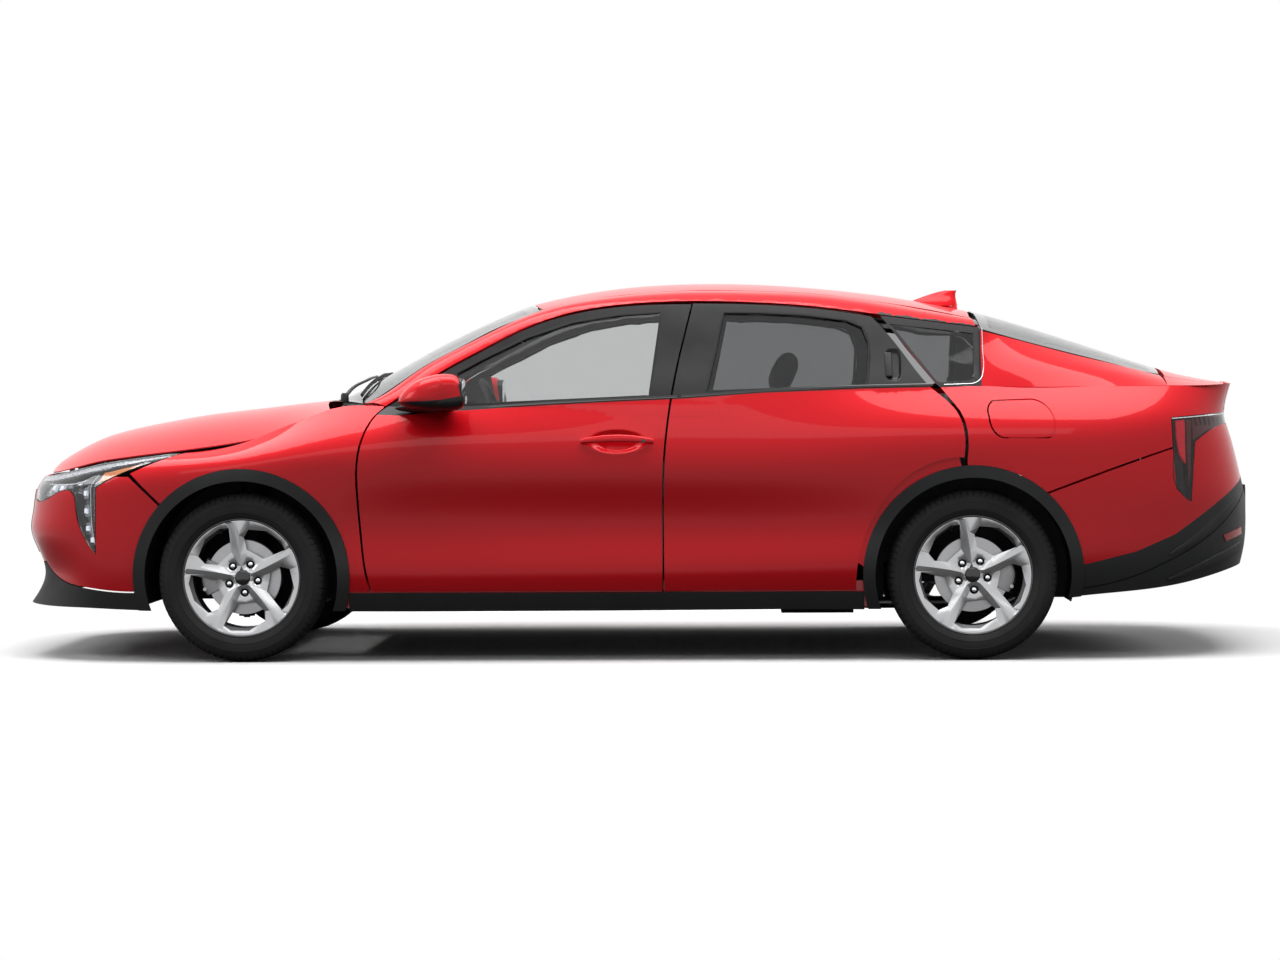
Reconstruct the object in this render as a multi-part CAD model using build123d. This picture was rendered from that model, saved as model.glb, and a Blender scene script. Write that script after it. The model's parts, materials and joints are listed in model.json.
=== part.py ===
from build123d import *
import math
import os

import numpy as np

# Four-door sedan. Millimetres. +X runs from nose to tail, +Y to the car's right, +Z up.
# The origin is on the ground, in the middle of the car.

# ---------------------------------------------------------------- driving dimensions
WHEELBASE = 2720.0
FRONT_HUB_X = -1460.0
REAR_HUB_X = FRONT_HUB_X + WHEELBASE
HUB_Z = 315.0
TRACK_HALF = 790.0
TYRE_RADIUS = HUB_Z
TYRE_WIDTH = 205.0
RIM_RADIUS = 221.0
RIM_WIDTH = 176.0
ARCH_RADIUS = 362.0
ARCH_LIP = 46.0
HOOD_GAP = 1.5  # fender edge to hood edge, seen from above
LINER_RADIUS = 374.0
SHEET = 3.0
DOOR_SKIN = 25.0
DOOR_DEPTH = 90.0
FRAME_NEAR = 38.0
FRAME_FAR = 98.0
GLASS = 4.0
GLASS_SET = 9.0
SHUT_GAP = 8.0
FIT = 0.3
ROOF_BOWS = (0.1, 4.3, 8.5)
STEER_Y = 752.0
STRUT_Y = -562.0
SEAT_Y = 370.0

os.makedirs("parts", exist_ok=True)


# ---------------------------------------------------------------- curves and surfaces
def cubic(knots, values):
    """Natural cubic spline through the values, as a function of the knot."""
    t = np.asarray(knots, float)
    p = np.asarray(values, float)
    n = len(t)
    h = np.diff(t)
    lhs = np.eye(n)
    rhs = np.zeros_like(p)
    for i in range(1, n - 1):
        lhs[i, i - 1:i + 2] = h[i - 1], 2 * (h[i - 1] + h[i]), h[i]
        rhs[i] = 6 * ((p[i + 1] - p[i]) / h[i] - (p[i] - p[i - 1]) / h[i - 1])
    m = np.linalg.solve(lhs, rhs)

    def value(s):
        i = min(max(int(np.searchsorted(t, s, side="right")) - 1, 0), n - 2)
        a = (t[i + 1] - s) / h[i]
        b = (s - t[i]) / h[i]
        curve = (a ** 3 - a) * m[i] + (b ** 3 - b) * m[i + 1]
        return a * p[i] + b * p[i + 1] + curve * h[i] ** 2 / 6

    return value


def net(lines, across):
    """Smooth surface through feature lines that share their stations.

    Returns the surface as a function of (station, across) and the number of stations."""
    rows = [np.asarray(line, float) for line in lines]
    middle = rows[len(rows) // 2]
    steps = np.linalg.norm(np.diff(middle, axis=0), axis=1)
    along = np.concatenate([[0], np.cumsum(steps)])
    index = cubic(range(len(along)), along)
    curves = [cubic(along, row) for row in rows]

    def point(station, v):
        s = index(station)
        return cubic(across, [curve(s) for curve in curves])(v)

    return point


def grid(surface, us, vs):
    return np.array([[surface(u, v) for v in vs] for u in us])


def normals(points):
    du = np.gradient(points, axis=0)
    dv = np.gradient(points, axis=1)
    n = np.cross(du, dv)
    return n / np.linalg.norm(n, axis=2)[..., None]


def layer(points, inward, near, far):
    """Closed solid between two depths under a grid of surface points.

    inward is a direction that roughly points into the car."""
    n = normals(points)
    flip = np.sign(np.einsum("ijk,k->ij", n, np.asarray(inward, float)).mean())
    faces = []
    for depth in (near, far):
        rows = points + flip * n * depth
        vectors = [[Vector(*p) for p in row] for row in rows]
        faces.append(Face.make_surface_from_array_of_points(vectors, tol=0.2, min_deg=3, max_deg=3))
    pairs = zip(faces[0].edges(), faces[1].edges())
    rims = [Face.make_surface_from_curves(a, b) for a, b in pairs]
    return Solid(Shell([*faces, *rims]))


def spread(first, last, step):
    return np.linspace(first, last, max(3, int(round((last - first) / step)) + 1))


# ---------------------------------------------------------------- outlines
def outline(start, *runs):
    """Closed wire in the XY plane: each run of one point is a line, longer runs are splines."""
    edges = []
    here = start
    for run in runs:
        points = [here, *run]
        if len(points) == 2:
            edges.append(Edge.make_line(points[0], points[1]))
        else:
            edges.append(Edge.make_spline([Vector(*p) for p in points]))
        here = run[-1]
    if math.dist(here, start) > 1e-6:
        edges.append(Edge.make_line(here, start))
    return Face(Wire(edges))


def side_prism(face, y0=-1300.0, y1=-60.0):
    """Prism along Y through an outline given as (x, z)."""
    upright = Plane(origin=(0, y1, 0), x_dir=(1, 0, 0), z_dir=(0, -1, 0))
    return extrude(upright * face, amount=y1 - y0, dir=(0, -1, 0))


def top_prism(face, z0=0.0, z1=1700.0):
    """Prism along Z through an outline given as (x, y)."""
    return extrude(Plane(origin=(0, 0, z0)) * face, amount=z1 - z0, dir=(0, 0, 1))


def end_prism(face, x0, x1):
    """Prism along X through an outline given as (y, z)."""
    upright = Plane(origin=(x0, 0, 0), x_dir=(0, 1, 0), z_dir=(1, 0, 0))
    return extrude(upright * face, amount=x1 - x0, dir=(1, 0, 0))


def box(x0, x1, y0, y1, z0, z1):
    size = (abs(x1 - x0), abs(y1 - y0), abs(z1 - z0))
    return Pos((x0 + x1) / 2, (y0 + y1) / 2, (z0 + z1) / 2) * Box(*size)


def rod_y(x, z, radius, y0, y1):
    return Pos(x, (y0 + y1) / 2, z) * Rot(90, 0, 0) * Cylinder(radius, abs(y1 - y0))


def rod(a, b, radius):
    a = Vector(*a)
    b = Vector(*b)
    plane = Plane(origin=a, z_dir=(b - a))
    return plane * Pos(0, 0, (b - a).length / 2) * Cylinder(radius, (b - a).length)


def right(shape):
    return shape.mirror(Plane.XZ)


def solids(*shapes):
    found = []
    for shape in shapes:
        items = shape if isinstance(shape, (list, ShapeList)) else [shape]
        for item in items:
            found.extend(item.solids())
    return found


def save(name, *shapes):
    found = solids(*shapes)
    body = found[0] if len(found) == 1 else Compound(children=found)
    export_step(body, f"parts/{name}.step")


# ---------------------------------------------------------------- feature lines, left side
TUMBLEHOME = cubic((900, 940, 985, 1100, 1200, 1300, 1340, 1400), (892, 880, 863, 806, 758, 710, 689, 652))


def glass_y(x, z):
    """Left side glass: leans in with height and bows in towards both ends."""
    return -(TUMBLEHOME(z) - (x - 200) ** 2 / 19000)


def on_glass(x, z):
    return (x, glass_y(x, z), z)


BOTTOM_LINE = [
    (-2355, 0, 205), (-2352, -300, 205), (-2322, -520, 205), (-2215, -690, 203), (-2040, -800, 200),
    (-1850, -862, 195), (-1460, -868, 190), (-1090, -868, 188), (-930, -868, 187), (-500, -868, 187),
    (116, -868, 188), (700, -868, 190), (1260, -868, 195), (1700, -862, 240), (2030, -790, 275),
    (2230, -640, 320), (2320, -350, 335), (2338, 0, 340)]
LEDGE_LINE = [
    (-2304, 0, 330), (-2300, -300, 330), (-2272, -520, 330), (-2190, -665, 330), (-2060, -806, 330),
    (-1850, -882, 330), (-1460, -900, 330), (-1090, -904, 330), (-930, -905, 330), (-500, -905, 332),
    (116, -905, 338), (700, -906, 345), (1260, -908, 350), (1720, -895, 370), (2050, -815, 400),
    (2250, -655, 430), (2338, -350, 440), (2355, 0, 445)]
HOLLOW_LINE = [
    (-2355, 0, 460), (-2348, -300, 460), (-2320, -520, 460), (-2238, -680, 460), (-2075, -815, 460),
    (-1850, -890, 460), (-1460, -905, 465), (-1090, -898, 465), (-930, -894, 465), (-500, -891, 465),
    (116, -891, 470), (700, -896, 475), (1260, -908, 485), (1730, -903, 500), (2060, -822, 525),
    (2255, -660, 550), (2338, -350, 560), (2355, 0, 562)]
WAIST_LINE = [
    (-2353, 0, 545), (-2346, -300, 545), (-2318, -520, 547), (-2235, -678, 552), (-2072, -815, 565),
    (-1845, -893, 580), (-1460, -915, 590), (-1090, -908, 590), (-930, -904, 590), (-500, -902, 590),
    (116, -903, 592), (700, -908, 598), (1260, -916, 610), (1740, -908, 625), (2070, -822, 640),
    (2250, -655, 640), (2325, -350, 638), (2342, 0, 637)]
CREASE_LINE = [
    (-2347, 0, 610), (-2340, -300, 610), (-2308, -518, 613), (-2225, -672, 622), (-2062, -812, 648),
    (-1835, -893, 672), (-1460, -918, 700), (-1090, -922, 705), (-930, -923, 706), (-500, -925, 708),
    (116, -925, 710), (700, -925, 715), (1260, -922, 730), (1750, -905, 765), (2065, -810, 790),
    (2225, -640, 800), (2280, -350, 805), (2297, 0, 808)]
SHOULDER_LINE = [
    (-2333, 0, 660), (-2326, -300, 658), (-2292, -512, 660), (-2203, -655, 678), (-2040, -788, 712),
    (-1815, -860, 742), (-1460, -882, 775), (-1090, -893, 835), (-930, -899, 843), (-500, -905, 850),
    (116, -905, 855), (700, -903, 865), (1260, -898, 885), (1750, -868, 905), (2055, -785, 915),
    (2205, -625, 918), (2248, -350, 920), (2262, 0, 922)]
BELT_LINE = [
    (-2308, 0, 698), (-2302, -300, 692), (-2275, -490, 691), (-2186, -630, 712), (-2010, -755, 748),
    (-1813, -800, 774), (-1460, -798, 818), (-1090, -768, 951), on_glass(-930, 952), on_glass(-500, 955),
    on_glass(116, 985), on_glass(700, 1005), on_glass(1260, 1014), (1750, -765, 1011), (2050, -722, 1012),
    (2225, -600, 1018), (2272, -350, 1022), (2286, 0, 1024)]
LEVELS = (190, 330, 465, 590, 708, 850, 965)
side = net([BOTTOM_LINE, LEDGE_LINE, HOLLOW_LINE, WAIST_LINE, CREASE_LINE, SHOULDER_LINE, BELT_LINE], LEVELS)

# Upper edge of the door frames, and the edge where pillars and roof rails meet glass and roof.
DRIP_XZ = [
    (-925, 952), (-874, 986), (-784, 1041), (-691, 1097), (-571, 1161), (-400, 1246), (-228, 1302),
    (-55, 1329), (170, 1341), (478, 1334), (704, 1316), (928, 1286), (1283, 1240)]
DRIP_LINE = [on_glass(x, z) for x, z in DRIP_XZ]
ROOF_EDGE = [
    (-1010, -745, 962), (-952, -735, 988), (-834, -715, 1068), (-749, -700, 1122), (-645, -685, 1175),
    (-470, -647, 1262), (-300, -605, 1325), (-100, -583, 1360), (150, -568, 1381), (478, -566, 1379),
    (706, -566, 1366), (933, -563, 1335), (1275, -560, 1272)]
RAIL_MIDDLE = [
    ((a[0] + b[0]) / 2, (a[1] + b[1]) / 2 - 8, (a[2] + b[2]) / 2 + 8) for a, b in zip(DRIP_LINE, ROOF_EDGE)]
rail = net([DRIP_LINE, RAIL_MIDDLE, ROOF_EDGE], (0, 1, 2))


def crown(centres, edges, power=2.4):
    """Surface from the centre line (x, z) out to an edge line, dropping faster near the edge."""
    count = len(centres)
    centre = cubic(range(count), centres)
    edge = cubic(range(count), edges)

    def point(u, w):
        cx, cz = centre(u)
        ex, ey, ez = edge(u)
        bend = abs(w) ** power
        return np.array([cx + (ex - cx) * bend, ey * w, cz + (ez - cz) * bend])

    return point


hood_surface = crown(
    [(-2308, 698), (-2275, 744), (-2165, 810), (-2043, 857), (-1860, 896), (-1680, 925), (-1500, 945),
     (-1340, 963), (-1215, 975), (-1120, 984)],
    [(-2186, -630, 712), (-2110, -695, 726), (-2010, -755, 748), (-1910, -785, 762), (-1813, -800, 774),
     (-1673, -806, 790), (-1511, -800, 812), (-1341, -790, 848), (-1200, -777, 905), (-1090, -768, 951)])
windshield_surface = crown(
    [(-1185, 980), (-1110, 1006), (-960, 1084), (-855, 1142), (-745, 1201), (-620, 1260), (-515, 1306),
     (-412, 1347)],
    [(-1010, -745, 962), (-952, -735, 988), (-834, -715, 1068), (-749, -700, 1122), (-645, -685, 1175),
     (-534, -662, 1234), (-440, -640, 1274), (-345, -615, 1312)])
roof_surface = crown(
    [(-412, 1347), (-300, 1373), (-160, 1398), (22, 1418), (250, 1426), (478, 1421), (706, 1404),
     (933, 1378), (1100, 1350), (1288, 1313)],
    [(-345, -615, 1312), (-250, -597, 1336), (-100, -583, 1360), (40, -574, 1374), (250, -566, 1384),
     (478, -566, 1379), (706, -566, 1366), (933, -563, 1335), (1100, -561, 1308), (1275, -560, 1272)],
    power=2.0)
backlight_surface = crown(
    [(1292, 1315), (1430, 1276), (1600, 1223), (1785, 1162), (1900, 1123), (2008, 1088)],
    [(1300, -640, 1230), (1440, -622, 1190), (1610, -605, 1145), (1790, -590, 1100), (1900, -578, 1071),
     (1985, -562, 1055)])
deck_surface = crown(
    [(2012, 1087), (2080, 1066), (2150, 1049), (2219, 1035), (2286, 1024)],
    [(1995, -735, 1012), (2060, -722, 1012), (2140, -690, 1013), (2200, -640, 1016), (2225, -600, 1018)])
pillar_surface = net(
    [[on_glass(1300, 1014), (1450, -785, 1010), (1620, -775, 1010), (1800, -758, 1011), (1995, -735, 1012)],
     [on_glass(1300, 1130), (1450, -726, 1107), (1620, -706, 1084), (1800, -686, 1061), (1990, -655, 1036)],
     [on_glass(1300, 1226), (1450, -628, 1188), (1620, -608, 1142), (1800, -594, 1098), (1985, -570, 1052)]],
    (0, 1, 2))


# ---------------------------------------------------------------- shared sheets, left side
INTO_CAR = (0, 1, -0.2)
DOWN = (0, 0.1, -1)


def side_layer(first, last, near, far, low=190, high=965):
    points = grid(side, spread(first, last, 0.2), np.linspace(low, high, 24))
    return layer(points, INTO_CAR, near, far)


def glass_layer(near, far, x0=-1000.0, x1=1305.0):
    xs = np.linspace(x0, x1, 22)
    points = np.array([[on_glass(x, z) for z in np.linspace(905, 1345, 14)] for x in xs])
    return layer(points, INTO_CAR, near, far)


def top_layer(surface, first, last, w0, w1, near, far):
    points = grid(surface, spread(first, last, 0.34), np.linspace(w0, w1, 17))
    return layer(points, DOWN, near, far)


# ---------------------------------------------------------------- outlines of the openings, as (x, z)
FRONT_DOOR_REAR = [(114, 284), (114, 599), (122, 784), (146, 980), (180, 1154), (225, 1335)]
FRONT_DOOR_FRONT = [
    (-977, 275), (-991, 326), (-1007, 437), (-1020, 605), (-1022, 716),
    (-1000, 840), (-963, 912), (-927, 945)]
REAR_DOOR_REAR = [(1230, 749), (1234, 815), (1227, 870), (1205, 926), (1121, 1008), (1011, 1148), (910, 1295)]


def shifted(points, dx, dz=0.0):
    return [(x + dx, z + dz) for x, z in points]


def front_door_outline(grow=0.0):
    """Outer edge of the front door. grow moves the top and bottom."""
    back = shifted(FRONT_DOOR_REAR, -SHUT_GAP / 2)
    lead = shifted(FRONT_DOOR_FRONT, SHUT_GAP / 2)
    return outline(
        (back[0][0], 262 - grow), back[:1], back[1:-1],
        [(back[-2][0] + 43, 1328 + grow)],
        [(-55, 1319 + grow), (-228, 1292 + grow), (-400, 1236 + grow), (-571, 1151 + grow),
         (-691, 1087 + grow), (-784, 1031 + grow), (-866, 980 + grow), lead[-1]],
        lead[:-1][::-1], [(lead[0][0], 262 - grow)])


def rear_door_outline(grow=0.0, front=0.0):
    """Outer edge of the rear door: follows the wheel arch at its lower rear corner."""
    lead = shifted(FRONT_DOOR_REAR, SHUT_GAP / 2 + front)
    arch = [(828, 262), (850, 430), (908, 556), (1001, 670), (1112, 733)]
    return outline(
        (lead[0][0], 262 - grow), lead[:1], lead[1:-1],
        [(lead[-2][0] + 43, 1331 + grow)],
        [(478, 1324 + grow), (704, 1306 + grow), (895 + grow, 1277 + grow)],
        [(1007 + grow, 1143), (1117 + grow, 1004), (1201 + grow, 922), (1223 + grow, 868),
         (1230 + grow, 815), (1226 + grow, 752)],
        shifted(arch, grow, grow)[::-1][:-1] + [(828 + grow, 262 - grow)])


def window(gap, start, *runs):
    """Window outline, pulled in by the gap all round."""
    every = [start, *[p for run in runs for p in run]]
    cx = sum(p[0] for p in every) / len(every)
    cz = sum(p[1] for p in every) / len(every)

    def pull(p):
        reach = math.dist(p, (cx, cz))
        return (p[0] + (cx - p[0]) * gap / reach, p[1] + (cz - p[1]) * gap / reach)

    return outline(pull(start), *[[pull(p) for p in run] for run in runs])


def front_window(gap=0.0):
    return window(
        gap, (-648, 955), [(66, 984)], [(108, 1300)],
        [(-55, 1290), (-228, 1263), (-400, 1206), (-571, 1123), (-660, 1075)])


def rear_window(gap=0.0):
    return window(
        gap, (275, 1000), [(868, 1019)], [(878, 1050), (884, 1180)], [(860, 1240), (800, 1266)],
        [(640, 1286), (477, 1296), (340, 1298)])


def quarter_window(gap=0.0):
    return window(
        gap, (1138, 1030), [(1240, 1032)], [(1268, 1042), (1280, 1068)], [(1280, 1212)], [(962, 1250)])


# ---------------------------------------------------------------- doors
def door(skin, core, frame, edge, opening, inner):
    outer = side_prism(edge)
    upper = (frame & outer) - side_prism(opening)
    return (skin & outer) + upper + (core & side_prism(inner))


def make_doors():
    skin = side_layer(6.9, 12.6, 0, DOOR_SKIN)
    core = side_layer(6.9, 12.6, DOOR_SKIN - 1, DOOR_DEPTH)
    frame = glass_layer(0, 28)
    pane = glass_layer(GLASS_SET, GLASS_SET + GLASS)
    front_inner = outline(
        (36, 310), [(38, 600), (44, 784), (64, 930)], [(-860, 900)],
        [(-925, 860), (-940, 716), (-930, 437), (-905, 310)])
    rear_inner = outline(
        (196, 310), [(196, 600), (204, 784), (225, 945)], [(1080, 955)], [(1120, 900), (1120, 830)],
        [(900, 740), (800, 600), (760, 450), (745, 310)])
    front = door(skin, core, frame, front_door_outline(), front_window(), front_inner)
    rear = door(skin, core, frame, rear_door_outline(), rear_window(), rear_inner)
    front_pane = pane & side_prism(front_window(0.4))
    rear_pane = pane & side_prism(rear_window(0.4))
    for name, shape in (("front_door", front), ("rear_door", rear), ("front_glass", front_pane),
                        ("rear_glass", rear_pane)):
        save(f"left_{name}", shape)
        save(f"right_{name}", right(shape))
    return front


# ---------------------------------------------------------------- mirrors
MIRROR_X, MIRROR_Z = -720.0, 1012.0


def make_mirrors(front_door):
    head = fillet(Box(150, 178, 104).edges(), 34)
    head = Pos(MIRROR_X, -968, MIRROR_Z) * head
    foot = rod((-745, -940, 985), (-745, -812, 972), 20)
    mirror = head + foot - front_door
    save("left_mirror", mirror)
    save("right_mirror", right(mirror))


# ---------------------------------------------------------------- outer panels on the body
def arch_cylinder(x, radius):
    return rod_y(x, HUB_Z, radius, -1000, -450)


def headlight(grow=0.0):
    g = grow
    return outline(
        (-2302 - g, 694 + g),
        [(-2206, 702 + g), (-2149, 713 + g), (-1998, 745 + g), (-1840, 768 + g), (-1676 + g, 789 + g)],
        [(-1809, 741 - g), (-1942 + g, 690 - g), (-2010 + g, 652 - g)], [(-2013 + g, 402 - g)],
        [(-2076 - g, 495), (-2101 - g, 607 - g)],
        [(-2127 - g, 640 - g), (-2210, 617 - g), (-2300 - g, 602 - g)])


HOOD_SIDE = [(-2110, -683), (-2010, -743), (-1910, -773), (-1813, -788), (-1673, -794), (-1511, -789),
             (-1341, -778), (-1200, -766), (-1135, -758)]


def hood_outline(inset=0.0):
    side_line = [(x, y + inset) for x, y in HOOD_SIDE]
    side_line[-1] = (-1135 - inset, -758 + inset)
    return outline(
        (-2301 + inset, 1), [(-2301 + inset, 0)],
        [(-2295 + inset, -300), (-2270 + inset, -472), (-2182 + inset, -613)],
        side_line, [(-1178 - inset, -500), (-1207 - inset, -200), (-1212 - inset, 0)], [(-1212 - inset, 1)])


def make_front_panels():
    skin = side_layer(3.6, 8.2, 0, SHEET)
    rear_edge = shifted(FRONT_DOOR_FRONT, -SHUT_GAP / 2)
    edge = side_prism(outline(
        (-1752, 588), [(-1785, 619)], [(-1875, 706)], [(-1812, 735), (-1662, 786)],
        [(-1655, 1000)], [(-900, 1000)],
        [(rear_edge[-1][0], 958)], [rear_edge[-1]], rear_edge[:-1][::-1],
        [(rear_edge[0][0], 262)], [(-1300, 262)], [(-1300, 588)]))
    fender = (skin & edge) - arch_cylinder(FRONT_HUB_X, ARCH_RADIUS + ARCH_LIP)
    fender = fender - side_prism(headlight()) - top_prism(hood_outline(-HOOD_GAP))
    save("front_fenders", fender, right(fender))

    nose = side_layer(0, 5.6, 0, SHEET)
    cut = side_prism(outline(
        (-2400, 694), [(-1882, 694)], [(-1792, 612)], [(-1748, 570)], [(-1748, 270)],
        [(-1960, 268), (-2070, 280), (-2150, 294), (-2258, 366)], [(-2400, 366)]), y1=1)
    bumper = (nose & cut) - side_prism(headlight(), -1300, -471)
    bumper = bumper - arch_cylinder(FRONT_HUB_X, ARCH_RADIUS + ARCH_LIP)
    bumper = bumper - box(-2400, -2200, -470, 1, 396, 640)
    save("front_bumper", bumper + right(bumper))


def make_headlights():
    deep = side_layer(0.4, 6.0, 0.5, 60)
    lamp = deep & side_prism(headlight(-3), -1300, -474)
    save("headlights", lamp, right(lamp))


# ---------------------------------------------------------------- side panels, roof and glass
def fuel_opening(gap=0.0):
    return window(
        gap, (1377, 820), [(1530, 820)], [(1556, 832), (1564, 865), (1556, 905)], [(1530, 945), (1483, 967)],
        [(1335, 962)], [(1322, 950), (1317, 900)], [(1322, 870), (1340, 838), (1377, 820)])


def rail_layer(near, far, first=0.0, last=12.0, low=0.0, high=2.0):
    points = grid(rail, spread(first, last, 0.25), np.linspace(low, high, 9))
    return layer(points, INTO_CAR, near, far)


def pillar_layer(near, far, low=0.0, high=1.97):
    points = grid(pillar_surface, spread(0, 4, 0.25), np.linspace(low, high, 11))
    return layer(points, INTO_CAR, near, far)


def tail_lamp(grow=0.0):
    g = grow
    return outline(
        (1997 - g, 893 + g), [(2272 + g, 914 + g)], [(2272 + g, 868 - g)],
        [(2202, 864 - g), (2140 + g, 838 - g), (2088 + g, 802 - g)],
        [(2070 + g, 579 - g)], [(2013 - g, 631 - g)], [(2001 - g, 772)])


def make_side_panels():
    skin = side_layer(11.0, 15.6, 0, SHEET)
    back = shifted(REAR_DOOR_REAR, SHUT_GAP)
    lower = side_prism(outline(
        (1238, 735), back[:1], back[1:4], [(1139, 1020)], [(2300, 1030)], [(2300, 917.5)], [(1996, 894.5)],
        [(1999, 785)], [(1832, 731), (1666, 672), (1528, 621)], [(1528, 560)], [(1238, 560)]))
    quarter = (skin & lower) - arch_cylinder(REAR_HUB_X, ARCH_RADIUS + ARCH_LIP)
    quarter = quarter - box(2000, 2400, -562, 10, 600, 1100)
    with_flap = quarter - side_prism(fuel_opening())
    pocket = side_layer(11.8, 13.2, SHEET - 0.5, 30, 780, 965) & (
        side_prism(fuel_opening(-6)) - side_prism(fuel_opening(12)) - box(1200, 1390, -1000, -700, 700, 1000))
    pocket = pocket - (side_layer(11.7, 13.3, -2, SHEET + 0.4, 770, 965) & side_prism(fuel_opening()))
    with_flap = with_flap + pocket
    upper = glass_layer(0, SHEET, 900, 1300)
    around = side_prism(outline((1142, 1012), [(1301, 1014)], [(1301, 1234)], [(928, 1281)]))
    upper = (upper & around) - side_prism(quarter_window())
    pane = glass_layer(SHEET + FIT, SHEET + FIT + GLASS, 900, 1300) & side_prism(quarter_window(0.4))
    deck = top_layer(deck_surface, 0, 4, 0.7, 0.995, 0, SHEET) & box(1900, 2400, -1000, -561, 900, 1200)
    shared = solids(upper, pillar_layer(0, SHEET), rail_layer(0, SHEET), deck)
    save("side_panels", with_flap, shared, right(quarter), [right(shape) for shape in shared])
    save("quarter_windows", pane, right(pane))
    flap = side_layer(11.8, 13.2, 0, SHEET, 780, 965) & side_prism(fuel_opening(6))
    save("fuel_door", flap)


def make_roof_and_glass():
    fin = loft([
        Plane.XY.offset(1312) * Pos(1170, 0) * Rectangle(186, 46),
        Plane.XY.offset(1398) * Pos(1222, 0) * Rectangle(44, 10)])
    panel = top_layer(roof_surface, 0.03, 8.97, -0.985, 0.985, 0, SHEET)
    save("roof_panel", panel, fin - top_layer(roof_surface, 5.5, 9, -0.3, 0.3, -0.3, 90))
    save("windshield", top_layer(windshield_surface, 0.05, 6.93, -0.985, 0.985, 0, 5))
    save("rear_window", top_layer(backlight_surface, 0.06, 4.97, -0.985, 0.985, 0, GLASS))


# ---------------------------------------------------------------- lids
def make_hood():
    sheet = top_layer(hood_surface, 0, 8.9, -1, 1, 0, 4)
    frame = top_layer(hood_surface, 0, 8.9, -1, 1, 3.9, 24)
    half = sheet & top_prism(hood_outline())
    ring = frame & (top_prism(hood_outline(35)) - top_prism(hood_outline(110)))
    ribs = frame & (top_prism(hood_outline(60)) & (
        box(-2300, -1200, -330, -270, 0, 1200) + box(-1900, -1840, -700, 1, 0, 1200)
        + box(-1560, -1500, -700, 1, 0, 1200)))
    whole = half + ring + ribs
    save("hood", whole + right(whole))


LID_REAR = outline(
    (1, 1050), [(-553, 1050)], [(-553, 960)], [(-545, 930), (-520, 919)],
    [(-464, 917)], [(-464, 690)], [(1, 690)])


def make_trunk_lid():
    top = top_layer(deck_surface, 0, 4, -1, 1, 0, 20)
    top = top & top_prism(outline(
        (2020, 1), [(2020, 0)], [(2016, -300), (2006, -553)], [(2400, -553)], [(2400, 1)]))
    rear = side_layer(14.6, 17, 0, 20, 600, 965) & end_prism(LID_REAR, 2100, 2400)
    half = top + rear
    save("trunk_lid", half + right(half))


# ---------------------------------------------------------------- bumpers and cladding
RED_REAR_EDGE = [(1624, 262), (1727, 276), (1838, 304), (1992, 368), (2092, 420), (2246, 544), (2318, 630)]


def make_rear_end():
    skin = side_layer(12.0, 17, 0, SHEET)
    edge = RED_REAR_EDGE
    red = side_prism(outline(
        (1528, 613), [(1666, 664), (1832, 723), (1999, 778)], [(2000, 885)], [(2400, 912)], [(2400, 660)],
        [(2318, 633)], edge[:-1][::-1], [(1528, 262)]), y1=1)
    cut = side_prism(tail_lamp(1)) + end_prism(outline(
        (1, 1100), [(-472, 1100)], [(-472, 682)], [(1, 682)]), 2000, 2500)
    bumper = (skin & red) - cut - arch_cylinder(REAR_HUB_X, ARCH_RADIUS + ARCH_LIP)
    save("rear_bumper", bumper + right(bumper))
    black = side_prism(outline(
        (1600, 258), [(1624, 258)], shifted(edge, 0, -4)[1:], [(2400, 640)],
        [(2400, 100)], [(1600, 100)]), y1=1)
    diffuser = (skin & black) - arch_cylinder(REAR_HUB_X, ARCH_RADIUS + ARCH_LIP)
    save("rear_diffuser", diffuser + right(diffuser))
    lamp = side_layer(13.4, 16.2, 0.5, 50) & side_prism(tail_lamp()) & end_prism(
        outline((-474, 1000), [(-900, 1000)], [(-900, 500)], [(-474, 500)]), 1900, 2400)
    save("taillights", lamp, right(lamp))


def make_front_lip():
    skin = side_layer(0, 5.6, 0, SHEET)
    cut = side_prism(outline(
        (-2400, 361), [(-2258, 361)], [(-2150, 289), (-2070, 275), (-1960, 263), (-1800, 263)],
        [(-1800, 100)],
        [(-2400, 100)]), y1=1)
    lip = (skin & cut) - arch_cylinder(FRONT_HUB_X, ARCH_RADIUS + ARCH_LIP)
    save("front_air_dam", lip + right(lip))
    grille = side_layer(0, 2.6, SHEET + FIT, 12) & side_prism(
        outline((-2400, 384), [(-2100, 384)], [(-2100, 652)], [(-2400, 652)]), -482, 1)
    grille = grille - side_prism(headlight(6))
    save("front_grille", grille + right(grille))


def arch_ring(x, band):
    ring = arch_cylinder(x, ARCH_RADIUS + 45) - arch_cylinder(x, ARCH_RADIUS)
    return band & (ring & box(x - 500, x + 500, -1000, -400, 190, 900))


def make_cladding():
    front = arch_ring(FRONT_HUB_X, side_layer(4.2, 7.6, -7, SHEET))
    rear = arch_ring(REAR_HUB_X, side_layer(11.0, 13.8, -7, SHEET))
    sill = side_layer(6.6, 12.4, 0, SHEET, 190, 270) & box(-1058, 858, -1000, -400, 187, 256)
    parts = [front, rear, sill]
    save("body_cladding", *parts, *[right(p) for p in parts])


# ---------------------------------------------------------------- structure
def liner(x, y_in, reach):
    tub = rod_y(x, HUB_Z, LINER_RADIUS + SHEET, -860, y_in)
    tub = tub - rod_y(x, HUB_Z, LINER_RADIUS, -900, y_in - SHEET)
    tub = tub & box(x - 500, x + 500, -900, 0, 215, 900)
    tub = tub - box(x - reach, x + 110, y_in - 20, y_in + 20, 100, 350)
    return tub


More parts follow.
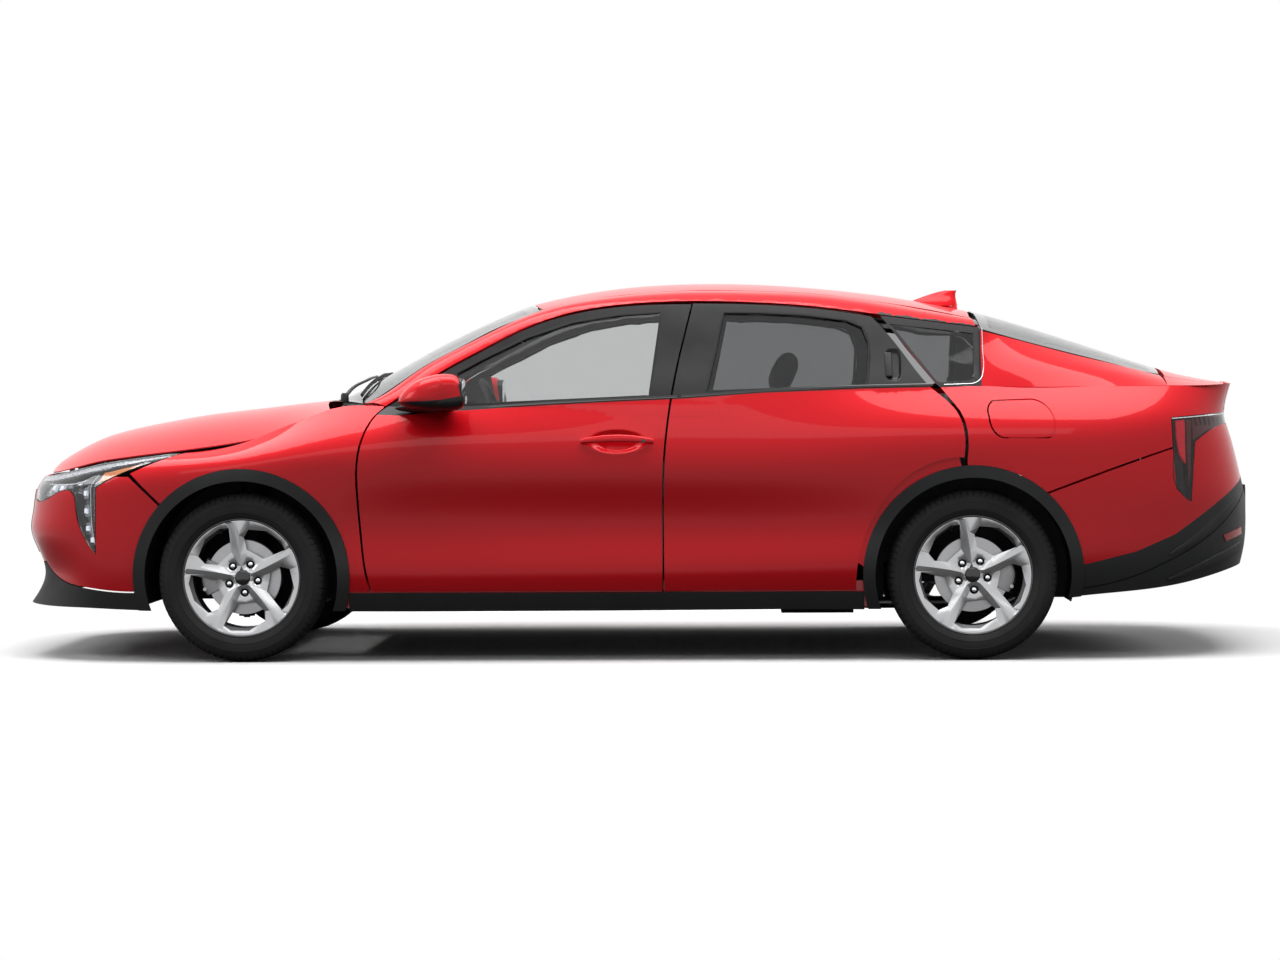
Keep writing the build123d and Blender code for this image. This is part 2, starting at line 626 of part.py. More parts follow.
def hood_stops():
    """Rubber stops that the closed hood rests on."""
    under = top_layer(hood_surface, 0, 4, -1, 1, 24.4, 400)
    return [box(-2222, -2204, y, y + 18, 668, 800) & under for y in (-310, 292)]


def lid_stops():
    """Rubber stops that the closed trunk lid rests on."""
    under = side_layer(14.6, 17, 20.4, 300, 600, 965)
    return [box(2228, 2290, y, y + 18, 630, 720) & under for y in (-300, 282)]


def make_side_frame():
    lower = side_layer(6.7, 12.6, FRAME_NEAR, FRAME_FAR)
    upper = glass_layer(FRAME_NEAR, 72)
    post = side_prism(outline(
        (48, 250), [(48, 599)], [(56, 784)], [(80, 980)], [(114, 1154)], [(158, 1318)], [(216, 1318)],
        [(172, 1154)], [(138, 980)], [(116, 784)], [(112, 599)], [(112, 250)]))
    b_pillar = (lower & post) + (upper & post)
    sill = box(-1080, 880, -860, -765, 200, 296) - box(108, 232, -861, -826, 254, 297)
    hinge_post = box(-1079, -1040, -850, -765, 280, 840) + box(-1079, -962, -772, -730, 800, 944)
    rails = rail_layer(SHEET + FIT, 20, last=12.04, low=0.35)
    rails = rails + rail_layer(16, 48, last=12.04, low=1.0, high=2.15)
    strip = side_prism(outline(
        (1152, 1020), [(1136, 1020)], [(1024, 1158)], [(926, 1295)], [(958, 1285)],
        [(962, 1256)], [(1132, 1036)]))
    quarter_post = glass_layer(30, 60, 800, 1300) & strip
    flanges = top_layer(windshield_surface, 0, 7.06, 0.92, 0.975, 5.3, 24)
    flanges = flanges + top_layer(roof_surface, 0, 9, 0.9, 0.975, SHEET + FIT, 24)
    flanges = flanges + top_layer(backlight_surface, -0.18, 5, 0.92, 0.975, GLASS + FIT, 24)
    for u in ROOF_BOWS:
        flanges = flanges + top_layer(roof_surface, u, u + 0.4, 0.88, 1.0, 20, 44)
    inner_pillar = pillar_layer(SHEET + FIT, 24, 0.12, 1.97)
    bracket = side_layer(6.2, 7.4, SHEET, 70, 300, 800) & box(-1075, -1045, -900, -800, 560, 600)
    seals = side_layer(7.8, 12.2, DOOR_SKIN + 0.4, FRAME_NEAR + 12, 250, 300) & (
        box(-900, -20, -900, -800, 268, 290) + box(240, 780, -900, -800, 268, 290))
    frame = b_pillar + sill + hinge_post + rails + flanges + inner_pillar + seals + bracket + quarter_post
    save("side_frames", frame, right(frame))


def make_frame():
    lower = side_layer(6.7, 12.6, FRAME_NEAR, FRAME_FAR)
    wheel_post = lower & side_prism(outline(
        (1245, 692.3), [(1250, 815)], [(1243, 872)], [(1221, 934)], [(1150, 1010)], [(1292, 1010)],
        [(1292, 692.3)]))
    tower = Pos(FRONT_HUB_X, STRUT_Y, 750) * Cylinder(66, 113)
    tower = tower - Pos(FRONT_HUB_X, STRUT_Y, 742) * Cylinder(60, 116)
    tower = tower + box(FRONT_HUB_X - 30, FRONT_HUB_X + 30, -500, -420, 480, 800)
    bay_rail = box(-2240, -1080, -480, -410, 400, 480)
    bows = [top_layer(roof_surface, u, u + 0.4, -0.8795, 0.8795, SHEET + FIT, 26) for u in ROOF_BOWS]
    firewall = box(-1080, -1074, -729.7, 729.7, 206.3, 930)
    cowl = box(-1074, -1010, -728, 728, 880, 935)
    support = box(-2262, -2240, -560, 560, 400, 480) + box(-2225, -2200, -430, 430, 640, 670)
    for y in (-430, 412):
        support = support + box(-2225, -2200, y, y + 18, 478, 642)
    for stop in hood_stops():
        support = support + stop
    left = [wheel_post, bay_rail + tower]
    save("body_frame", *left, *[right(p) for p in left], *bows, firewall, cowl, support)


def make_wheelhouses():
    front = liner(FRONT_HUB_X, -500, 110) - Pos(FRONT_HUB_X, STRUT_Y, 700) * Cylinder(60, 200)
    rear = liner(REAR_HUB_X, -600, 320)
    save("wheelhouses", front, right(front), rear, right(rear))


def make_floor():
    floor = box(-1074, 860, -764, 764, 200, 206) - box(-1090, 870, -110, 110, 190, 230)
    tunnel = box(-1074, 860, -116, 116, 200, 300) - box(-1090, 870, -110, 110, 190, 294)
    riser = box(854, 860, -764, 764, 206, 360)
    boot = box(854, 2226, -599.7, 599.7, 354, 360)
    back = box(2226, 2232, -596, 596, 354, 640)
    shelf = box(1330, 1930, -600, 600, 940, 946)
    bulk = box(1324, 1330, -600, 600, 360, 946)
    pan = floor + tunnel + riser + boot + back + bulk + shelf
    for stop in lid_stops():
        pan = pan + stop
    save("floor_pan", pan)


# ---------------------------------------------------------------- wheels and running gear
def ring_of(profile):
    """Turns a (radius, y) outline about the wheel axis."""
    return revolve(Plane.XY * profile, axis=Axis.Y)


def tyre_shape():
    half = TYRE_WIDTH / 2
    top = TYRE_RADIUS
    return ring_of(outline(
        (top, 0), [(top - 1, half * 0.4), (top - 6, half * 0.72)],
        [(top - 20, half * 0.93), (top - 55, half)],
        [(RIM_RADIUS + 12, half * 0.93), (RIM_RADIUS + 0.5, half * 0.84)], [(RIM_RADIUS + 0.5, half * 0.79)],
        [(RIM_RADIUS - 10, half * 0.74)],
        [(RIM_RADIUS - 10, -half * 0.74)], [(RIM_RADIUS + 0.5, -half * 0.79)],
        [(RIM_RADIUS + 0.5, -half * 0.84)],
        [(RIM_RADIUS + 12, -half * 0.93), (top - 55, -half)],
        [(top - 20, -half * 0.93), (top - 6, -half * 0.72)],
        [(top - 1, -half * 0.4), (top, 0)]))


def rim_shape():
    half = RIM_WIDTH / 2
    seat = RIM_RADIUS - 11
    barrel = ring_of(outline(
        (RIM_RADIUS, -half), [(RIM_RADIUS, -half + 6)], [(seat, -half + 10)], [(seat, half - 10)],
        [(RIM_RADIUS, half - 6)], [(RIM_RADIUS, half)], [(seat - 8, half)], [(seat - 8, -half)]))
    hub = rod_y(0, 0, 72, -60, -44) - rod_y(0, 0, 25.05, -61, -43)
    spoke = box(60, seat - 4, -64, -46, -19, 19)
    face = hub
    for k in range(5):
        face = face + Rot(0, 90 + 72 * k, 0) * spoke
    disc = rod_y(0, 0, 140, -24, 0) - rod_y(0, 0, 25.05, -61, 5)
    hat = rod_y(0, 0, 72, -44.5, -23) - rod_y(0, 0, 25.05, -61, 5)
    return barrel + face + disc + hat


def make_wheels():
    tyre = tyre_shape()
    rim = rim_shape()
    for end, x in (("front", FRONT_HUB_X), ("rear", REAR_HUB_X)):
        left = Pos(x, -TRACK_HALF, HUB_Z)
        save(f"left_{end}_tyre", left * tyre)
        save(f"right_{end}_tyre", right(left * tyre))
        save(f"left_{end}_wheel", left * rim)
        save(f"right_{end}_wheel", right(left * rim))


def spindle(x):
    pin = rod_y(x, HUB_Z, 25, -TRACK_HALF - 50, -TRACK_HALF + 12)
    return pin + rod_y(x, HUB_Z, 45, -TRACK_HALF + 6, -TRACK_HALF + 60)


def make_running_gear():
    carrier = spindle(FRONT_HUB_X) + rod_y(FRONT_HUB_X, HUB_Z, 62, -TRACK_HALF + 25, -TRACK_HALF + 60)
    leg = rod((FRONT_HUB_X, -STEER_Y, 262), (FRONT_HUB_X, -STEER_Y, 196), 24)
    pin = rod((FRONT_HUB_X, -STEER_Y, 200), (FRONT_HUB_X, -STEER_Y, 160), 12)
    knuckle = carrier + leg + pin
    save("left_knuckle", knuckle)
    save("right_knuckle", right(knuckle))
    arm = rod((FRONT_HUB_X, -STEER_Y, 166), (FRONT_HUB_X, -STEER_Y, 190), 30)
    arm = arm + box(FRONT_HUB_X - 24, FRONT_HUB_X + 24, -STEER_Y, -560, 168, 188)
    arm = arm + box(FRONT_HUB_X - 60, FRONT_HUB_X + 60, -620 + 30, -380, 168, 188)
    arm = arm - rod((FRONT_HUB_X, -STEER_Y, 150), (FRONT_HUB_X, -STEER_Y, 210), 12.05)
    strut = rod((FRONT_HUB_X, -562, 186), (FRONT_HUB_X, -562, 800), 26)
    spring = rod((FRONT_HUB_X, -562, 420), (FRONT_HUB_X, -562, 680), 48)
    frame = box(FRONT_HUB_X - 140, FRONT_HUB_X + 140, -450, 1, 168, 230)
    for dx in (-110, 110):
        frame = frame + rod((FRONT_HUB_X + dx, -430, 225), (FRONT_HUB_X + dx, -430, 399.8), 18)
    left = arm + strut + spring + frame
    save("front_suspension", left + right(left))
    beam = rod((1010, -560, 300), (1010, 1, 300), 45)
    trailing = box(960, 1300, -672, -612, 280, 345) + box(960, 1060, -672, -540, 280, 345)
    stub = spindle(REAR_HUB_X) + rod_y(REAR_HUB_X, HUB_Z, 60, -TRACK_HALF + 30, -640)
    bush = box(980, 1040, -596, -540, 340, 353.8)
    rear = beam + trailing + stub + bush
    save("rear_suspension", rear + right(rear))


# ---------------------------------------------------------------- cabin, engine and tank
STEERING_FRAME = Pos(-520, -SEAT_Y, 880) * Rot(0, 65, 0)


def seat(width):
    cushion = box(-60, 470, -width / 2, width / 2, 330, 480)
    back = Pos(430, 0, 430) * Rot(0, 22, 0) * box(0, 120, -width / 2, width / 2, 0, 600)
    head = Pos(430, 0, 430) * Rot(0, 22, 0) * box(20, 110, -130, 130, 630, 800)
    stalks = box(55, 67, -60, -48, 590, 640) + box(55, 67, 48, 60, 590, 640)
    stalk = Pos(430, 0, 430) * Rot(0, 22, 0) * stalks
    base = box(0, 420, -width / 2 + 40, width / 2 - 40, 206.3, 332)
    return cushion + back + head + stalk + base


def make_cabin():
    chair = Pos(-190, -SEAT_Y, 0) * seat(500)
    save("front_seats", chair, right(chair))
    bench = box(760, 1250, -600, 600, 365, 500)
    bench = bench + Pos(1120, 0, 470) * Rot(0, 24, 0) * box(0, 100, -600, 600, 0, 470)
    save("rear_seat", bench & box(700, 1322, -640, 640, 361, 1100))
    dash = box(-1000, -640, -700, 700, 640, 900)
    for y in (-620, 580):
        dash = dash + box(-1073.7, -990, y, y + 40, 700, 760)
    column = STEERING_FRAME * Pos(0, 0, -190) * (Cylinder(34, 260) - Cylinder(12.3, 300))
    bore = STEERING_FRAME * Pos(0, 0, -140) * Cylinder(12.05, 320)
    save("dashboard", dash + column - bore)
    wheel = STEERING_FRAME * (
        Torus(180, 14) + Cylinder(50, 30) + box(-175, 175, -16, 16, -6, 6) + box(-16, 16, -175, 0, -6, 6)
        + Pos(0, 0, -150) * Cylinder(12, 280))
    save("steering_wheel", wheel)
    mount = box(-1720, -1640, -409.8, -330, 420, 460)
    engine = box(-1960, -1300, -340, 340, 260, 800) + mount + right(mount)
    save("engine", engine)
    save("fuel_tank", box(560, 850, 120, 600, 110, 199.7))
    pipe = rod((-1060, 0, 160), (1460, 0, 160), 24) + rod((1450, 0, 160), (1720, 0, 300), 24)
    hanger = box(1890, 1910, -250, -230, 340, 353.8)
    save("exhaust", pipe + box(1700, 2060, -300, 300, 262, 345) + hanger + right(hanger))


make_mirrors(make_doors())
make_front_panels()
make_headlights()
make_side_panels()
make_roof_and_glass()
make_hood()
make_trunk_lid()
make_rear_end()
make_front_lip()
make_cladding()
make_side_frame()
make_frame()
make_wheelhouses()
make_floor()
make_wheels()
make_running_gear()
make_cabin()
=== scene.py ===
"""Four-door sedan: the visual model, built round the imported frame. Metres; +X to the tail, +Y to the right."""
import math
import random

import bmesh
import bpy
import numpy as np
from mathutils import Matrix, Vector
from mathutils.bvhtree import BVHTree
from mathutils.geometry import barycentric_transform
from mathutils.geometry import delaunay_2d_cdt as CDT
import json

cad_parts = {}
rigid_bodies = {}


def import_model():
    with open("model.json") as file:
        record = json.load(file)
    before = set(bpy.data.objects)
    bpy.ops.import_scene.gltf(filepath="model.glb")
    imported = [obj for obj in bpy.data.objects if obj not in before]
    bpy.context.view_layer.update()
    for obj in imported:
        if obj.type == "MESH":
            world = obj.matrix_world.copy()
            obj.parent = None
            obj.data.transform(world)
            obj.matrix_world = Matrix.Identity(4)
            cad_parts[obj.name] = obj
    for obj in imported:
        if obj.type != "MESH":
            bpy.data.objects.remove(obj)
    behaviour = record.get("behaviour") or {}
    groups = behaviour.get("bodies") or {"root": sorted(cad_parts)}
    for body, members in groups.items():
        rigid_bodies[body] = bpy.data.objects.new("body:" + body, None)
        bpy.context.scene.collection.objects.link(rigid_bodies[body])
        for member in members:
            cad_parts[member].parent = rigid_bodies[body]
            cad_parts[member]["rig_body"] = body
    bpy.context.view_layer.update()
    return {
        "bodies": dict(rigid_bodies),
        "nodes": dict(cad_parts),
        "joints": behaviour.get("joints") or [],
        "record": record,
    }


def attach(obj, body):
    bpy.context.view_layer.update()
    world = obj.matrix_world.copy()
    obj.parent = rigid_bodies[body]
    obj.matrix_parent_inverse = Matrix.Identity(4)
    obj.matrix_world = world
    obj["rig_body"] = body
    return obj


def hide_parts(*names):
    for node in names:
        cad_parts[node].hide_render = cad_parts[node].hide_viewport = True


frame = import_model()
NODES = frame["nodes"]
random.seed(7)

# ---------------------------------------------------------------- sizes shared with the CAD, in metres
FRONT_HUB_X, REAR_HUB_X, HUB_Z = -1.460, 1.260, 0.315
TRACK_HALF = 0.790
TYRE_RADIUS = 0.315
GLASS_SET = 0.009
SEAT_Y = 0.370
MM = 0.001
SIDES = (0, "left"), (1, "right")  # index into a pair of surfaces, and the prefix of the names
HANDS = ("left", -1), ("right", 1)  # prefix of the names, and the sign of y


# ---------------------------------------------------------------- body surfaces, as in the CAD, in mm
def cubic(knots, values):
    """Natural cubic spline; evaluates at an array of positions."""
    t = np.asarray(knots, float)
    p = np.asarray(values, float)
    n = len(t)
    h = np.diff(t)
    lhs = np.eye(n)
    rhs = np.zeros_like(p)
    for i in range(1, n - 1):
        lhs[i, i - 1:i + 2] = h[i - 1], 2 * (h[i - 1] + h[i]), h[i]
        rhs[i] = 6 * ((p[i + 1] - p[i]) / h[i] - (p[i] - p[i - 1]) / h[i - 1])
    m = np.linalg.solve(lhs, rhs.reshape(n, -1)).reshape(p.shape)

    def value(s):
        s = np.asarray(s, float)
        i = np.clip(np.searchsorted(t, s, side="right") - 1, 0, n - 2)
        shape = s.shape + (1,) * (p.ndim - 1)
        step = h[i].reshape(shape)
        a = (t[i + 1] - s).reshape(shape) / step
        b = (s - t[i]).reshape(shape) / step
        return a * p[i] + b * p[i + 1] + ((a ** 3 - a) * m[i] + (b ** 3 - b) * m[i + 1]) * step ** 2 / 6

    return value


TUMBLEHOME = cubic((900, 940, 985, 1100, 1200, 1300, 1340, 1400), (892, 880, 863, 806, 758, 710, 689, 652))


def glass_y(x, z):
    return -(TUMBLEHOME(z) - (np.asarray(x, float) - 200) ** 2 / 19000)


def on_glass(x, z):
    return (x, float(glass_y(x, z)), z)


BOTTOM_LINE = [
    (-2355, 0, 205), (-2352, -300, 205), (-2322, -520, 205), (-2215, -690, 203), (-2040, -800, 200),
    (-1850, -862, 195), (-1460, -868, 190), (-1090, -868, 188), (-930, -868, 187), (-500, -868, 187),
    (116, -868, 188), (700, -868, 190), (1260, -868, 195), (1700, -862, 240), (2030, -790, 275),
    (2230, -640, 320), (2320, -350, 335), (2338, 0, 340)]
LEDGE_LINE = [
    (-2304, 0, 330), (-2300, -300, 330), (-2272, -520, 330), (-2190, -665, 330), (-2060, -806, 330),
    (-1850, -882, 330), (-1460, -900, 330), (-1090, -904, 330), (-930, -905, 330), (-500, -905, 332),
    (116, -905, 338), (700, -906, 345), (1260, -908, 350), (1720, -895, 370), (2050, -815, 400),
    (2250, -655, 430), (2338, -350, 440), (2355, 0, 445)]
HOLLOW_LINE = [
    (-2355, 0, 460), (-2348, -300, 460), (-2320, -520, 460), (-2238, -680, 460), (-2075, -815, 460),
    (-1850, -890, 460), (-1460, -905, 465), (-1090, -898, 465), (-930, -894, 465), (-500, -891, 465),
    (116, -891, 470), (700, -896, 475), (1260, -908, 485), (1730, -903, 500), (2060, -822, 525),
    (2255, -660, 550), (2338, -350, 560), (2355, 0, 562)]
WAIST_LINE = [
    (-2353, 0, 545), (-2346, -300, 545), (-2318, -520, 547), (-2235, -678, 552), (-2072, -815, 565),
    (-1845, -893, 580), (-1460, -915, 590), (-1090, -908, 590), (-930, -904, 590), (-500, -902, 590),
    (116, -903, 592), (700, -908, 598), (1260, -916, 610), (1740, -908, 625), (2070, -822, 640),
    (2250, -655, 640), (2325, -350, 638), (2342, 0, 637)]
CREASE_LINE = [
    (-2347, 0, 610), (-2340, -300, 610), (-2308, -518, 613), (-2225, -672, 622), (-2062, -812, 648),
    (-1835, -893, 672), (-1460, -918, 700), (-1090, -922, 705), (-930, -923, 706), (-500, -925, 708),
    (116, -925, 710), (700, -925, 715), (1260, -922, 730), (1750, -905, 765), (2065, -810, 790),
    (2225, -640, 800), (2280, -350, 805), (2297, 0, 808)]
SHOULDER_LINE = [
    (-2333, 0, 660), (-2326, -300, 658), (-2292, -512, 660), (-2203, -655, 678), (-2040, -788, 712),
    (-1815, -860, 742), (-1460, -882, 775), (-1090, -893, 835), (-930, -899, 843), (-500, -905, 850),
    (116, -905, 855), (700, -903, 865), (1260, -898, 885), (1750, -868, 905), (2055, -785, 915),
    (2205, -625, 918), (2248, -350, 920), (2262, 0, 922)]
BELT_LINE = [
    (-2308, 0, 698), (-2302, -300, 692), (-2275, -490, 691), (-2186, -630, 712), (-2010, -755, 748),
    (-1813, -800, 774), (-1460, -798, 818), (-1090, -768, 951), on_glass(-930, 952), on_glass(-500, 955),
    on_glass(116, 985), on_glass(700, 1005), on_glass(1260, 1014), (1750, -765, 1011), (2050, -722, 1012),
    (2225, -600, 1018), (2272, -350, 1022), (2286, 0, 1024)]
LEVELS = (190, 330, 465, 590, 708, 850, 965)
# Upper edge of the door frames, and the edge where pillars and roof rails meet glass and roof.
DRIP_XZ = [
    (-925, 952), (-874, 986), (-784, 1041), (-691, 1097), (-571, 1161), (-400, 1246), (-228, 1302),
    (-55, 1329), (170, 1341), (478, 1334), (704, 1316), (928, 1286), (1283, 1240)]
DRIP_LINE = [on_glass(x, z) for x, z in DRIP_XZ]
ROOF_EDGE = [
    (-1010, -745, 962), (-952, -735, 988), (-834, -715, 1068), (-749, -700, 1122), (-645, -685, 1175),
    (-470, -647, 1262), (-300, -605, 1325), (-100, -583, 1360), (150, -568, 1381), (478, -566, 1379),
    (706, -566, 1366), (933, -563, 1335), (1275, -560, 1272)]
RAIL_MIDDLE = [
    ((a[0] + b[0]) / 2, (a[1] + b[1]) / 2 - 8, (a[2] + b[2]) / 2 + 8) for a, b in zip(DRIP_LINE, ROOF_EDGE)]
RAIL_LINES = [DRIP_LINE, RAIL_MIDDLE, ROOF_EDGE]


def net(lines, across):
    """Smooth surface through feature lines that share their stations: grid of points at stations and levels."""
    rows = np.array(lines, float)
    middle = rows[len(rows) // 2]
    steps = np.linalg.norm(np.diff(middle, axis=0), axis=1)
    along = np.concatenate([[0], np.cumsum(steps)])
    index = cubic(range(len(along)), along)

    def points(stations, levels):
        lines_at = np.array([cubic(along, row)(index(stations)) for row in rows])
        return np.moveaxis(cubic(across, lines_at)(levels), 0, 1)

    return points


def crown(centres, edges, power=2.4):
    """Surface from the centre line (x, z) out to an edge line, dropping faster near the edge."""
    centre = cubic(range(len(centres)), centres)
    edge = cubic(range(len(edges)), edges)

    def points(us, ws):
        c, e = centre(us)[:, None], edge(us)[:, None]
        w = np.asarray(ws, float)[None, :]
        bend = np.abs(w) ** power
        return np.stack([c[..., 0] + (e[..., 0] - c[..., 0]) * bend, e[..., 1] * w,
                         c[..., 1] + (e[..., 2] - c[..., 1]) * bend], axis=-1)

    return points


side = net([BOTTOM_LINE, LEDGE_LINE, HOLLOW_LINE, WAIST_LINE, CREASE_LINE, SHOULDER_LINE, BELT_LINE], LEVELS)
rail = net(RAIL_LINES, (0, 1, 2))
hood_surface = crown(
    [(-2308, 698), (-2275, 744), (-2165, 810), (-2043, 857), (-1860, 896), (-1680, 925), (-1500, 945),
     (-1340, 963), (-1215, 975), (-1120, 984)],
    [(-2186, -630, 712), (-2110, -695, 726), (-2010, -755, 748), (-1910, -785, 762), (-1813, -800, 774),
     (-1673, -806, 790), (-1511, -800, 812), (-1341, -790, 848), (-1200, -777, 905), (-1090, -768, 951)])
windshield_surface = crown(
    [(-1185, 980), (-1110, 1006), (-960, 1084), (-855, 1142), (-745, 1201), (-620, 1260), (-515, 1306),
     (-412, 1347)],
    [(-1010, -745, 962), (-952, -735, 988), (-834, -715, 1068), (-749, -700, 1122), (-645, -685, 1175),
     (-534, -662, 1234), (-440, -640, 1274), (-345, -615, 1312)])
roof_surface = crown(
    [(-412, 1347), (-300, 1373), (-160, 1398), (22, 1418), (250, 1426), (478, 1421), (706, 1404),
     (933, 1378), (1100, 1350), (1288, 1313)],
    [(-345, -615, 1312), (-250, -597, 1336), (-100, -583, 1360), (40, -574, 1374), (250, -566, 1384),
     (478, -566, 1379), (706, -566, 1366), (933, -563, 1335), (1100, -561, 1308), (1275, -560, 1272)],
    power=2.0)
backlight_surface = crown(
    [(1292, 1315), (1430, 1276), (1600, 1223), (1785, 1162), (1900, 1123), (2008, 1088)],
    [(1300, -640, 1230), (1440, -622, 1190), (1610, -605, 1145), (1790, -590, 1100), (1900, -578, 1071),
     (1985, -562, 1055)])
deck_surface = crown(
    [(2012, 1087), (2080, 1066), (2150, 1049), (2219, 1035), (2286, 1024)],
    [(1995, -735, 1012), (2060, -722, 1012), (2140, -690, 1013), (2200, -640, 1016), (2225, -600, 1018)])
pillar_surface = net(
    [[on_glass(1300, 1014), (1450, -785, 1010), (1620, -775, 1010), (1800, -758, 1011), (1995, -735, 1012)],
     [on_glass(1300, 1130), (1450, -726, 1107), (1620, -706, 1084), (1800, -686, 1061), (1990, -655, 1036)],
     [on_glass(1300, 1226), (1450, -628, 1188), (1620, -608, 1142), (1800, -594, 1098), (1985, -570, 1052)]],
    (0, 1, 2))


# ---------------------------------------------------------------- materials
class Shader:
    """Small helper that builds a procedural material round one Principled shader."""

    def __init__(self, name, color, rough, metal=0.0, **sockets):
        self.mat = bpy.data.materials.new(name)
        self.mat.use_nodes = True
        self.tree = self.mat.node_tree
        self.bsdf = self.tree.nodes["Principled BSDF"]
        self.mat.diffuse_color = (*color, 1)
        self.put("Base Color", (*color, 1))
        self.put("Roughness", rough)
        self.put("Metallic", metal)
        for key, value in sockets.items():
            self.put(key.replace("_", " "), value)
        self.color, self.rough = color, rough
        self.where = self.node("ShaderNodeTexCoord").outputs["Object"]

    def put(self, socket, value):
        self.bsdf.inputs[socket].default_value = value

    def node(self, kind, **values):
        made = self.tree.nodes.new(kind)
        for key, value in values.items():
            if key in made.inputs:
                made.inputs[key].default_value = value
            else:
                setattr(made, key, value)
        return made

    def link(self, a, b):
        self.tree.links.new(a, b)

    def noise(self, scale, detail=3.0, kind="ShaderNodeTexNoise", **values):
        made = self.node(kind, Scale=scale, **values)
        if "Detail" in made.inputs:
            made.inputs["Detail"].default_value = detail
        self.link(self.where, made.inputs["Vector"])
        return made.outputs["Fac"] if "Fac" in made.outputs else made.outputs[0]

    def ramp(self, fac, low, high, a=0.3, b=0.7):
        made = self.node("ShaderNodeMapRange")
        for key, value in (("From Min", a), ("From Max", b), ("To Min", low), ("To Max", high)):
            made.inputs[key].default_value = value
        self.link(fac, made.inputs["Value"])
        return made.outputs["Result"]

    def vary_rough(self, scale, spread):
        self.link(self.ramp(self.noise(scale), self.rough - spread, self.rough + spread),
                  self.bsdf.inputs["Roughness"])
        return self

    def vary_color(self, scale, other, low=0.0, high=1.0, detail=3.0):
        mix = self.node("ShaderNodeMix", data_type="RGBA")
        mix.inputs[6].default_value = (*self.color, 1)
        mix.inputs[7].default_value = (*other, 1)
        self.link(self.ramp(self.noise(scale, detail), low, high), mix.inputs[0])
        self.link(mix.outputs[2], self.bsdf.inputs["Base Color"])
        return self

    def bump(self, height, strength=0.2, distance=0.0003):
        made = self.node("ShaderNodeBump", Strength=strength, Distance=distance)
        self.link(height, made.inputs["Height"])
        previous = self.bsdf.inputs["Normal"]
        if previous.is_linked:
            self.link(previous.links[0].from_socket, made.inputs["Normal"])
        self.link(made.outputs["Normal"], previous)
        return self


def flaked_paint():
    s = Shader("paint_red", (0.66, 0.003, 0.009), 0.34, 0.08, Coat_Weight=0.6, Coat_Roughness=0.03,
               Coat_IOR=1.36, Specular_IOR_Level=0.05)
    cells = s.node("ShaderNodeTexVoronoi", Scale=2600.0)
    s.link(s.where, cells.inputs["Vector"])
    mix = s.node("ShaderNodeMix", data_type="RGBA")
    mix.inputs[6].default_value = (0.64, 0.004, 0.010, 1)
    mix.inputs[7].default_value = (0.76, 0.007, 0.016, 1)
    s.link(cells.outputs["Color"], mix.inputs[0])
    s.link(mix.outputs[2], s.bsdf.inputs["Base Color"])
    s.vary_rough(900.0, 0.04)
    return s.mat


def grained(name, color, rough=0.55, grain=1800.0, strength=0.35, other=None):
    s = Shader(name, color, rough, Specular_IOR_Level=0.3)
    s.vary_rough(9.0, 0.05)
    s.vary_color(6.0, other or tuple(c * 1.35 + 0.002 for c in color))
    cells = s.noise(grain, kind="ShaderNodeTexVoronoi", feature="SMOOTH_F1")
    return s.bump(cells, strength, 0.0002).mat


def metal(name, color, rough=0.3, scale=400.0, spread=0.06, bump=0.1):
    s = Shader(name, color, rough, 1.0)
    s.vary_rough(scale, spread)
    s.vary_color(12.0, tuple(c * 0.86 for c in color))
    return s.bump(s.noise(scale * 3), bump, 0.0001).mat


def glassy(name, color, ior=1.45):
    """Clear or tinted pane, with a trace of waviness in its gloss."""
    s = Shader(name, color, 0.0, Transmission_Weight=1.0, IOR=ior)
    s.link(s.ramp(s.noise(3.0), 0.0, 0.004), s.bsdf.inputs["Roughness"])
    return s.mat


def woven(name, color, other, pitch=900.0, strength=0.6):
    """Cloth with crossing yarns; the yarns come from two wave textures."""
    s = Shader(name, color, 0.9, Sheen_Weight=0.35, Sheen_Roughness=0.5)
    waves = []
    for axis in ("X", "Z"):
        wave = s.node("ShaderNodeTexWave", Scale=pitch, Distortion=0.6, bands_direction=axis)
        s.link(s.where, wave.inputs["Vector"])
        waves.append(wave.outputs["Fac"])
    height = s.node("ShaderNodeMath", operation="MAXIMUM")
    s.link(waves[0], height.inputs[0])
    s.link(waves[1], height.inputs[1])
    s.vary_color(320.0, other, 0.0, 1.0, 5.0)
    return s.bump(height.outputs[0], strength, 0.0005).mat


def lit(name, color, strength):
    s = Shader(name, color, 0.3, Emission_Strength=strength, Emission_Color=(*color, 1))
    s.vary_rough(60.0, 0.04)
    return s.mat


PAINT = flaked_paint()
CLADDING = grained("plastic_cladding", (0.014, 0.0145, 0.0155), 0.60, 1500.0, 0.5)
TRIM = grained("plastic_satin_trim", (0.008, 0.008, 0.009), 0.36, 2600.0, 0.12)
GLOSS = Shader("plastic_gloss_black", (0.008, 0.008, 0.009), 0.08, Coat_Weight=0.6,
               Coat_Roughness=0.03).vary_rough(30.0, 0.02).mat
RUBBER = grained("rubber_seal", (0.010, 0.010, 0.010), 0.72, 2200.0, 0.3)
TYRE = grained("rubber_tyre", (0.013, 0.013, 0.0135), 0.72, 700.0, 0.4, (0.024, 0.0235, 0.023))
ALLOY = Shader("alloy_silver", (0.52, 0.524, 0.535), 0.24, 0.9, Coat_Weight=0.35,
               Coat_Roughness=0.10).vary_rough(60.0, 0.02).mat
BARREL = metal("alloy_dark_barrel", (0.11, 0.11, 0.113), 0.45)
STEEL = metal("steel_turned", (0.42, 0.42, 0.43), 0.32, 900.0)
